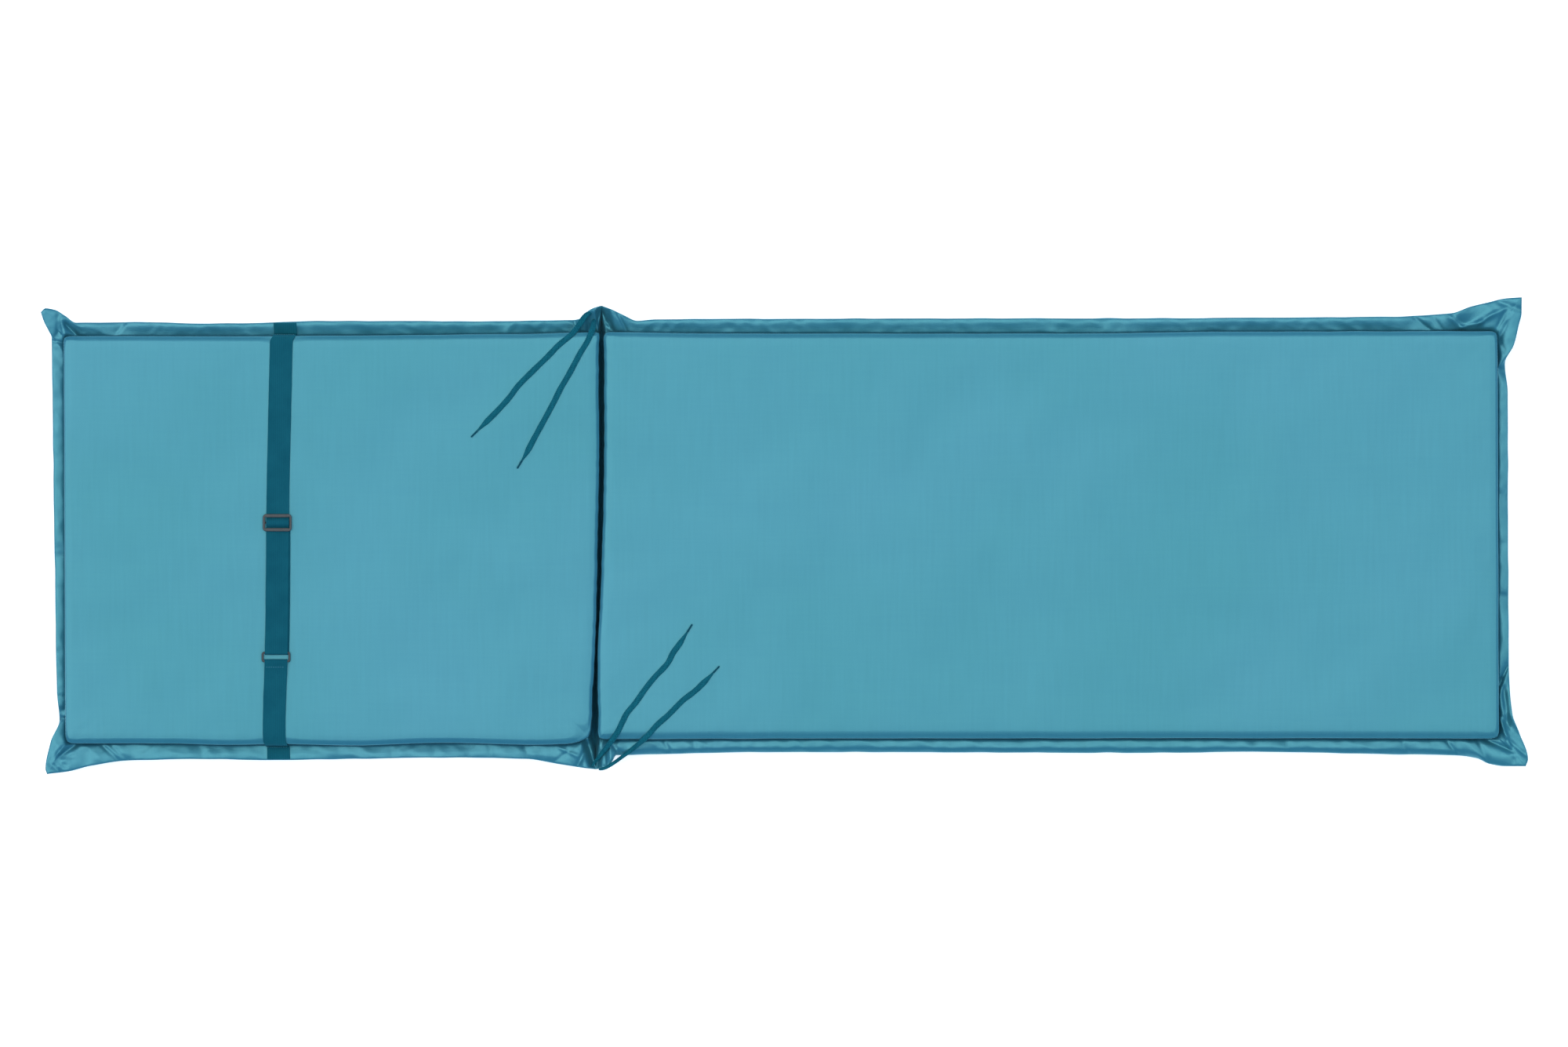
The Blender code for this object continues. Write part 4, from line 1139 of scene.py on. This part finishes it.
def make_lace(name, path, gathering, mat):
    """A flat braid with raised strands, gathered from its peak on, that narrows towards its tip."""
    along = lengths_along(path)
    narrow = np.clip((along[-1] - along) / LACE_NARROWING, 0, 1)
    narrow = (1 - NARROWING_EASE) * narrow + NARROWING_EASE * narrow * narrow * (3 - 2 * narrow)
    tip_share = TIP_SIZE[1] / LACE_WIDTH
    half_width = LACE_WIDTH / 2 * (tip_share + (1 - tip_share) * narrow)
    half_width = half_width * (1 + ripple(along, *LACE_RIPPLE))
    half_height = LACE_THICKNESS / 2 * (1 + TIP_SWELL * (1 - narrow))
    reach, narrowest = gathering
    half_width = half_width * (narrowest + (1 - narrowest) * np.clip(along / reach, 0, 1))
    root = np.clip(along / LACE_ROOT, 0, 1)
    half_width = half_width * (ROOT_SHARE + (1 - ROOT_SHARE) * np.sqrt(1 - (1 - root) ** 2))
    tangent = unit(np.gradient(path, axis=0))
    wide = unit(np.column_stack((-tangent[:, 1], tangent[:, 0], np.zeros(len(path)))))
    upward = np.cross(tangent, wide)
    turn = circle(LACE_SIDES)
    flat_x = np.sign(np.cos(turn)) * np.abs(np.cos(turn)) ** LACE_ROUNDNESS[0]
    flat_z = np.sign(np.sin(turn)) * np.abs(np.sin(turn)) ** LACE_ROUNDNESS[1]
    rings, reliefs = [], []
    for k, point in enumerate(path):
        relief = braid_relief(along[k], flat_x * STRANDS_ACROSS)
        out_x = flat_x * (half_width[k] + STRAND_RELIEF * (relief - 1.0))
        out_z = flat_z * (half_height[k] + STRAND_RELIEF * (relief - 1.0))
        rings.append(point + out_x[:, None] * wide[k] + out_z[:, None] * upward[k])
        reliefs.append(relief)
    lace = tube(name, rings, mat)
    # The braid's relief, kept for the material's painted shade between the strands.
    shade = lace.data.attributes.new("strand", "FLOAT", "POINT")
    shade.data.foreach_set("value", np.concatenate(reliefs))
    return lace


def skin(start, count, sides, closed):
    """Faces over rings of points, capped at both ends unless the rings close on themselves."""
    faces = []
    for k in range(count if closed else count - 1):
        faces += band(start + k * sides, start + (k + 1) % count * sides, sides)
    if not closed:
        faces.append(range(start + sides - 1, start - 1, -1))
        faces.append(range(start + (count - 1) * sides, start + count * sides))
    return faces


def tube(name, rings, mat, closed=False):
    """A skin over rings of points, capped at its ends unless it closes on itself."""
    rings = np.array(rings)
    made = new_piece(name, rings.reshape(-1, 3), skin(0, *rings.shape[:2], closed), mat)
    flip_outward(made)
    return made


def round_off(past, least):
    """How wide a round end is, as a share, by how far past its beginning it is."""
    return math.sqrt(max(1 - max(past, 0.0) ** 2, least))


def make_tip(name, path, mat):
    """The lace's sealed tip: a thin sleeve in line with the end of the lace, a little uneven."""
    along = path[-1] - path[-2]
    along[2] = 0.0
    along /= np.linalg.norm(along)
    side = np.array((-along[1], along[0], 0.0))
    length, width = TIP_SIZE
    start = path[-1] + along * TIP_GAP
    height = FACE_HEIGHT + 2 * GAP + width / 2
    turn = circle(TIP_SIDES)
    rings = []
    for k in range(TIP_SECTIONS + 1):
        share = k / TIP_SECTIONS
        far_end = round_off((share - (1 - TIP_FAR_END)) / TIP_FAR_END, least=0.02)
        near_end = round_off((TIP_NEAR_END - share) / TIP_NEAR_END, least=0.3)
        radius = width / 2 * (1 - TIP_TAPER * share) * far_end * near_end
        radius *= sum((swell * math.sin(pace * share + offset) for swell, pace, offset in TIP_WAVES), 1)
        middle = start + along * (share * length)
        middle[2] = height
        rings.append(middle + np.outer(np.cos(turn) * radius, side) + np.outer(np.sin(turn) * radius, UP))
    return tube(name, rings, mat)


# Heights of the webbing's middle and of the fittings, stacked up from the back pad's face
HALF_STRAP = STRAP_THICKNESS / 2
FIRST_LAYER = FACE_HEIGHT + 2 * GAP + HALF_STRAP
SECOND_LAYER = FIRST_LAYER + STRAP_THICKNESS + GAP
MIDDLE_BAR_WRAP = math.hypot(*MIDDLE_BAR) / 2 + GAP + HALF_STRAP
MIDDLE_BAR_HEIGHT = FIRST_LAYER + MIDDLE_BAR_WRAP
OVER_BAR = MIDDLE_BAR_HEIGHT + MIDDLE_BAR_WRAP + STRAP_THICKNESS + GAP
SLIDE_BOTTOM = FIRST_LAYER + HALF_STRAP + GAP
OUTER_BAR_BOTTOM = SECOND_LAYER + HALF_STRAP + GAP
SLIDE_TOP = OUTER_BAR_BOTTOM + SLIDE_BAR_THICKNESS
RING_WRAP = RING_WIRE / 2 + GAP + HALF_STRAP
RING_HEIGHT = FIRST_LAYER + RING_WRAP
RING_REACH = (RING_SIZE[1] - RING_WIRE) / 2


def strap_on(surface, y):
    """Place and height of the strap's middle where it rests on the cushion."""
    middle = float(smooth_values(STRAP_COURSE, y))
    across = [middle + STRAP_WIDTH * share for share in (-0.5, -0.25, 0.0, 0.25, 0.5)]
    return y, max(height_below(surface, x, y, STRAP_CLEARANCE) for x in across) + GAP + HALF_STRAP


def strap_end(surface, edge, way, reach):
    """Places and heights from a strap's end on the hem, up over the pad's edge and onto its face."""
    line = [strap_on(surface, edge + way * out) for out in (reach, *STRAP_ON_HEM)]
    line += [(edge + way * out, height) for out, height in STRAP_ON_WALL]
    return line + [strap_on(surface, edge + way * out) for out in STRAP_ON_FACE]


def wrap(y, height, radius, start, end):
    """Points round a bar across the strap, from one angle to another, in degrees from +Y upward."""
    steps = 12
    angles = np.radians(np.linspace(start, end, steps + 1))
    return [(y + radius * math.cos(a), height + radius * math.sin(a)) for a in angles]


def webbing(name, line, mat, seed, shift=0.0):
    """A flat strap along a line of (y, height), whose stretches towards +Y lie a shift to the side."""
    line = soften(even_path(np.array(line, dtype=float), STRAP_SPACING), rounds=3)
    tangent = unit(np.gradient(line, axis=0))
    upward = np.column_stack((-tangent[:, 1], tangent[:, 0]))
    length = np.arange(len(line)) * STRAP_SPACING
    spacing, waver = STRAP_WAVER
    left_edge = -STRAP_WIDTH / 2 + ripple(length, spacing, seed, waver)
    right_edge = STRAP_WIDTH / 2 + ripple(length, spacing, seed + 1, waver)
    middle = smooth_values(STRAP_COURSE, line[:, 0]) + shift * soften(tangent[:, 0] > 0.5, rounds=8)
    shares, half = np.array(STRAP_SECTION).T
    shares = np.concatenate((shares, 1 - shares[-2::-1]))
    half = HALF_STRAP * np.concatenate((half, half[-2::-1]))
    shares = np.concatenate((shares, shares[::-1]))
    half = np.concatenate((half, -half[::-1]))
    rings = []
    for k, (y, height) in enumerate(line):
        x = middle[k] + left_edge[k] + (right_edge[k] - left_edge[k]) * shares
        rings.append(np.column_stack((x, y + upward[k, 0] * half, height + upward[k, 1] * half)))
    return tube(name, rings, mat)


def make_long_strap(surface, mat):
    """From the left hem over the slide, round the ring, and back to the slide's middle bar."""
    slide_y = SLIDE_PLACE[1]
    window = SLIDE_SIZE[1] / 2 - SLIDE_BAR
    outside, inside, over = window + SLIDE_BAR + 1.5, window - 0.6, 2.2
    rising, turning = slide_y + 24, slide_y - 6
    bar = RING_PLACE[1] + RING_REACH
    line = strap_end(surface, LEFT_EDGE, 1, LEFT_REACH)
    line += [(y, FIRST_LAYER + 0.1) for y in (*BEFORE_SLIDE, rising)]
    line += [(slide_y + out, SECOND_LAYER) for out in (outside, inside)]
    line += [(slide_y + out, OVER_BAR) for out in (over, -over)]
    line += [(slide_y - out, SECOND_LAYER) for out in (inside, outside)]
    line += [(y, SECOND_LAYER + 0.2) for y in BETWEEN_FITTINGS]
    line += wrap(bar, RING_HEIGHT, RING_WRAP, 90, 270)
    line += [(y, FIRST_LAYER) for y in (*reversed(BETWEEN_FITTINGS), turning)]
    line += wrap(slide_y, MIDDLE_BAR_HEIGHT, MIDDLE_BAR_WRAP, -90, 90)
    return webbing("strap_long_webbing", line, mat, LONG_STRAP_SEED, RETURN_SHIFT)


def make_short_strap(surface, mat):
    """From the right hem to the ring, with its end turned round the ring and sewn below itself."""
    bar = RING_PLACE[1] - RING_REACH
    before_tail, before_ring = bar - SEWN_TAIL - 4, bar - 10
    line = strap_end(surface, RIGHT_EDGE, -1, RIGHT_REACH)
    line += [(y, SECOND_LAYER - 0.6) for y in (BEHIND_RING, before_tail)]
    line.append((before_ring, RING_HEIGHT + RING_WRAP - 1.6))
    line += wrap(bar, RING_HEIGHT, RING_WRAP, 90, -90)
    line.append((bar - SEWN_TAIL, FIRST_LAYER))
    return webbing("strap_short_webbing", line, mat, SHORT_STRAP_SEED)


def rounded_outline(size, corner, steps):
    """Outline of a rectangle with round corners about the origin, anticlockwise, with its outward ways."""
    points, ways = [], []
    for k, (sign_x, sign_y) in enumerate(((1, 1), (-1, 1), (-1, -1), (1, -1))):
        centre = np.array((sign_x * (size[0] / 2 - corner), sign_y * (size[1] / 2 - corner)))
        for step in range(steps + 1):
            angle = math.pi / 2 * (k + step / steps)
            way = np.array((math.cos(angle), math.sin(angle)))
            points.append(centre + way * corner)
            ways.append(way)
    return points, ways


def make_slide(mat):
    """A moulded frame: two broad outer bars, joined by rails that reach down beside the webbing."""
    rings = []
    for point, way in zip(*rounded_outline(SLIDE_SIZE, SLIDE_CORNER, steps=10)):
        broad = SLIDE_RAIL + (SLIDE_BAR - SLIDE_RAIL) * way[1] ** 2
        low = SLIDE_BOTTOM + (OUTER_BAR_BOTTOM - SLIDE_BOTTOM) * min(SLIDE_RISE * way[1] ** 2, 1.0)
        section, _ = rounded_outline((broad, SLIDE_TOP - low), SLIDE_EDGE, steps=4)
        centre = point - way * (broad / 2)
        height = (SLIDE_TOP + low) / 2
        rings.append([(*(centre + way * s[0] + np.array(SLIDE_PLACE)), height + s[1]) for s in section])
    return tube("slide_frame", rings, mat, closed=True)


def make_slide_bar(mat):
    """The slide's middle bar, let into its rails."""
    length = SLIDE_SIZE[0] - SLIDE_RAIL
    section, _ = rounded_outline(MIDDLE_BAR, MIDDLE_BAR_EDGE, steps=3)
    rings = []
    for share in np.linspace(-0.5, 0.5, 9):
        x = SLIDE_PLACE[0] + share * length
        rings.append([(x, SLIDE_PLACE[1] + s[0], MIDDLE_BAR_HEIGHT + s[1]) for s in section])
    return tube("slide_middle_bar", rings, mat)


def make_ring(mat):
    """Round wire bent into a closed rectangle."""
    size = (RING_SIZE[0] - RING_WIRE, RING_SIZE[1] - RING_WIRE)
    turn = circle(RING_SIDES)
    rings = []
    for point, way in zip(*rounded_outline(size, RING_WIRE * RING_CORNER, steps=8)):
        flat = np.array(RING_PLACE) + point + np.outer(np.cos(turn) * RING_WIRE / 2, way)
        rings.append(np.column_stack((flat, RING_HEIGHT + np.sin(turn) * RING_WIRE / 2)))
    return tube("ring_wire", rings, mat, closed=True)


def stitches(name, places, ways, kind, mat):
    """Short humped threads: where each one's middle lies, and its direction."""
    _, length, radius, lift = kind
    turn = circle(STITCH_SIDES)
    points, faces = [], []
    for place, way in zip(places + UP * lift, ways):
        way = way / np.linalg.norm(way)
        side = np.cross(way, UP)
        side /= np.linalg.norm(side)
        top = np.cross(side, way)
        faces += skin(len(points), STITCH_SECTIONS, STITCH_SIDES, False)
        for share in np.arange(STITCH_SECTIONS) / (STITCH_SECTIONS - 1):
            hump = radius * STITCH_HUMP * math.sin(math.pi * share) - radius * STITCH_SINK
            arch = math.sin(math.pi * (0.1 + 0.8 * share))
            thick = radius * (STITCH_END + (1 - STITCH_END) * arch)
            middle = place + way * (share - 0.5) * length + top * hump
            points += [middle + side * math.cos(a) * thick + top * math.sin(a) * thick for a in turn]
    made = new_piece(name, points, faces, mat)
    flip_outward(made)
    return made


def hem_stitches(name, sides, surface, mat):
    """A line of stitches along the hem, an even distance from its seam, that ends just before the fold."""
    spared = 2
    parts = []
    for side in sides:
        seam = side.pad_points(side.shares, SEAM_INSET)
        flat = seam + unit(side.hem_points() - seam) * STITCH_PLACE
        parts.append([(x, y, height_at(surface, x, y)) for x, y in flat])
    ring = np.concatenate(parts)
    keep = at_stations(sides, [not side.is_fold for side in sides])
    fold = int(np.argmin(keep))
    first = fold + int(np.argmax(np.roll(keep, -fold)))
    ring, keep = np.roll(ring, -first, axis=0), np.roll(keep, -first)
    line = even_path(ring[keep], HEM_STITCH[0])[spared:-spared]
    return stitches(name, line, np.gradient(line, axis=0), HEM_STITCH, mat)


def cross_stitches(name, surface, y, inset, mat):
    """A line of stitches across the strap."""
    middle = float(smooth_values(STRAP_COURSE, y))
    reach = STRAP_WIDTH / 2
    xs = np.arange(middle - reach + inset, middle + reach - inset, STRAP_STITCH[0])
    places = np.array([(x, y, height_at(surface, x, y)) for x in xs])
    return stitches(name, places, np.tile((1.0, 0.0, 0.0), (len(xs), 1)), STRAP_STITCH, mat)


def make_stage():
    """A plain white floor, far larger than what any view shows."""
    bm = bmesh.new()
    bmesh.ops.create_circle(bm, cap_ends=True, radius=40.0, segments=64)
    mesh = bpy.data.meshes.new("floor")
    bm.to_mesh(mesh)
    bm.free()
    floor = bpy.data.objects.new("floor", mesh)
    floor.location.z = -0.0004
    bpy.context.scene.collection.objects.link(floor)
    mat = bpy.data.materials.new("floor_paint")
    mat.use_nodes = True
    paint = {"Base Color": (0.9, 0.9, 0.9, 1), "Roughness": 0.9, "Specular IOR Level": 0.1}
    glow = {"Emission Color": (1.0, 1.0, 1.0, 1), "Emission Strength": 0.64}
    set_inputs(mat.node_tree.nodes["Principled BSDF"], {**paint, **glow})
    mesh.materials.append(mat)


def make_lights():
    """Two broad soft lights from above the left side, one towards each end, sky, and a white backdrop."""
    lamps = (
        ("head_light", (-0.46, 0.14, 1.0), 1.38, (1.0, 0.86, 0.68)),
        ("foot_light", (0.34, 0.14, 1.0), 0.88, (1.0, 0.88, 0.69)),
    )
    for name, direction, energy, colour in lamps:
        light = bpy.data.lights.new(name, "SUN")
        light.energy = energy
        light.angle = math.radians(52)
        light.color = colour
        lamp = bpy.data.objects.new(name, light)
        lamp.rotation_euler = Vector(direction).to_track_quat("Z", "Y").to_euler()
        bpy.context.scene.collection.objects.link(lamp)
    world = bpy.data.worlds.new("studio")
    bpy.context.scene.world = world
    world.use_nodes = True
    nodes, links = world.node_tree.nodes, world.node_tree.links
    sky = nodes["Background"]
    set_inputs(sky, {"Color": (0.38, 0.86, 1.42, 1), "Strength": 0.42})
    backdrop = nodes.new("ShaderNodeBackground")
    set_inputs(backdrop, {"Color": (1.0, 1.0, 1.0, 1)})
    ray = nodes.new("ShaderNodeLightPath")
    mix = nodes.new("ShaderNodeMixShader")
    for k, socket in enumerate((ray.outputs["Is Camera Ray"], sky.outputs[0], backdrop.outputs[0])):
        links.new(socket, mix.inputs[k])
    links.new(mix.outputs[0], nodes["World Output"].inputs["Surface"])
    bpy.context.scene.view_settings.view_transform = "Standard"


def dress(piece, slot, *nodes):
    """Rides a piece on the cushion, and hides the solids that it stands for; its slot is not used."""
    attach(piece, "root")
    if nodes:
        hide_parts(*nodes)
    return piece


def main():
    make_camera()
    make_stage()
    make_lights()
    cover = cover_material()
    back = dress(make_pad("back_pad_cover", BACK_SIDES, cover), "cover", "cushion")
    seat = dress(make_pad("seat_pad_cover", SEAT_SIDES, cover), "cover", "cushion")
    for pad in (back, seat):
        flip_outward(pad)
    cushion_surface = surface_of(back, seat)

    lace, tip = lace_material(), tip_material()
    for name, route in LACE_ROUTES.items():
        path = rest_on(cushion_surface, route)
        lace_piece = dress(make_lace(f"{name}_lace", path, LACE_GATHERS[name], lace), "braid", name)
        tip_piece = dress(make_tip(f"{name}_end", path, tip), "lace_tips", f"{name}_tip")

    strap = webbing_material()
    long_strap = dress(make_long_strap(cushion_surface, strap), "webbing", "strap_long")
    short_strap = dress(make_short_strap(cushion_surface, strap), "webbing", "strap_short")
    fitting = fitting_material()
    dress(make_slide(fitting), "fittings", "strap_slide")
    dress(make_slide_bar(fitting), "fittings", "strap_slide")
    dress(make_ring(fitting), "fittings", "strap_ring")

    # The hem's thread is painted darker than the cloth, as painted shade, so that its stitches sit dark in
    # the shaded groove by the pad's wall.
    cover_thread = thread_material("cover_thread", (0.02, 0.12, 0.18, 1), (0.035, 0.17, 0.24, 1))
    strap_thread = thread_material("strap_thread", (0.05, 0.22, 0.3, 1), (0.11, 0.36, 0.44, 1))
    strap_surface = surface_of(long_strap, short_strap)
    for name, sides in (("back_pad_seam", BACK_SIDES), ("seat_pad_seam", SEAT_SIDES)):
        dress(hem_stitches(name, sides, cushion_surface, cover_thread), "cover")
    for name, (y, inset) in STRAP_SEAMS.items():
        dress(cross_stitches(name, strap_surface, y, inset, strap_thread), "webbing")


main()
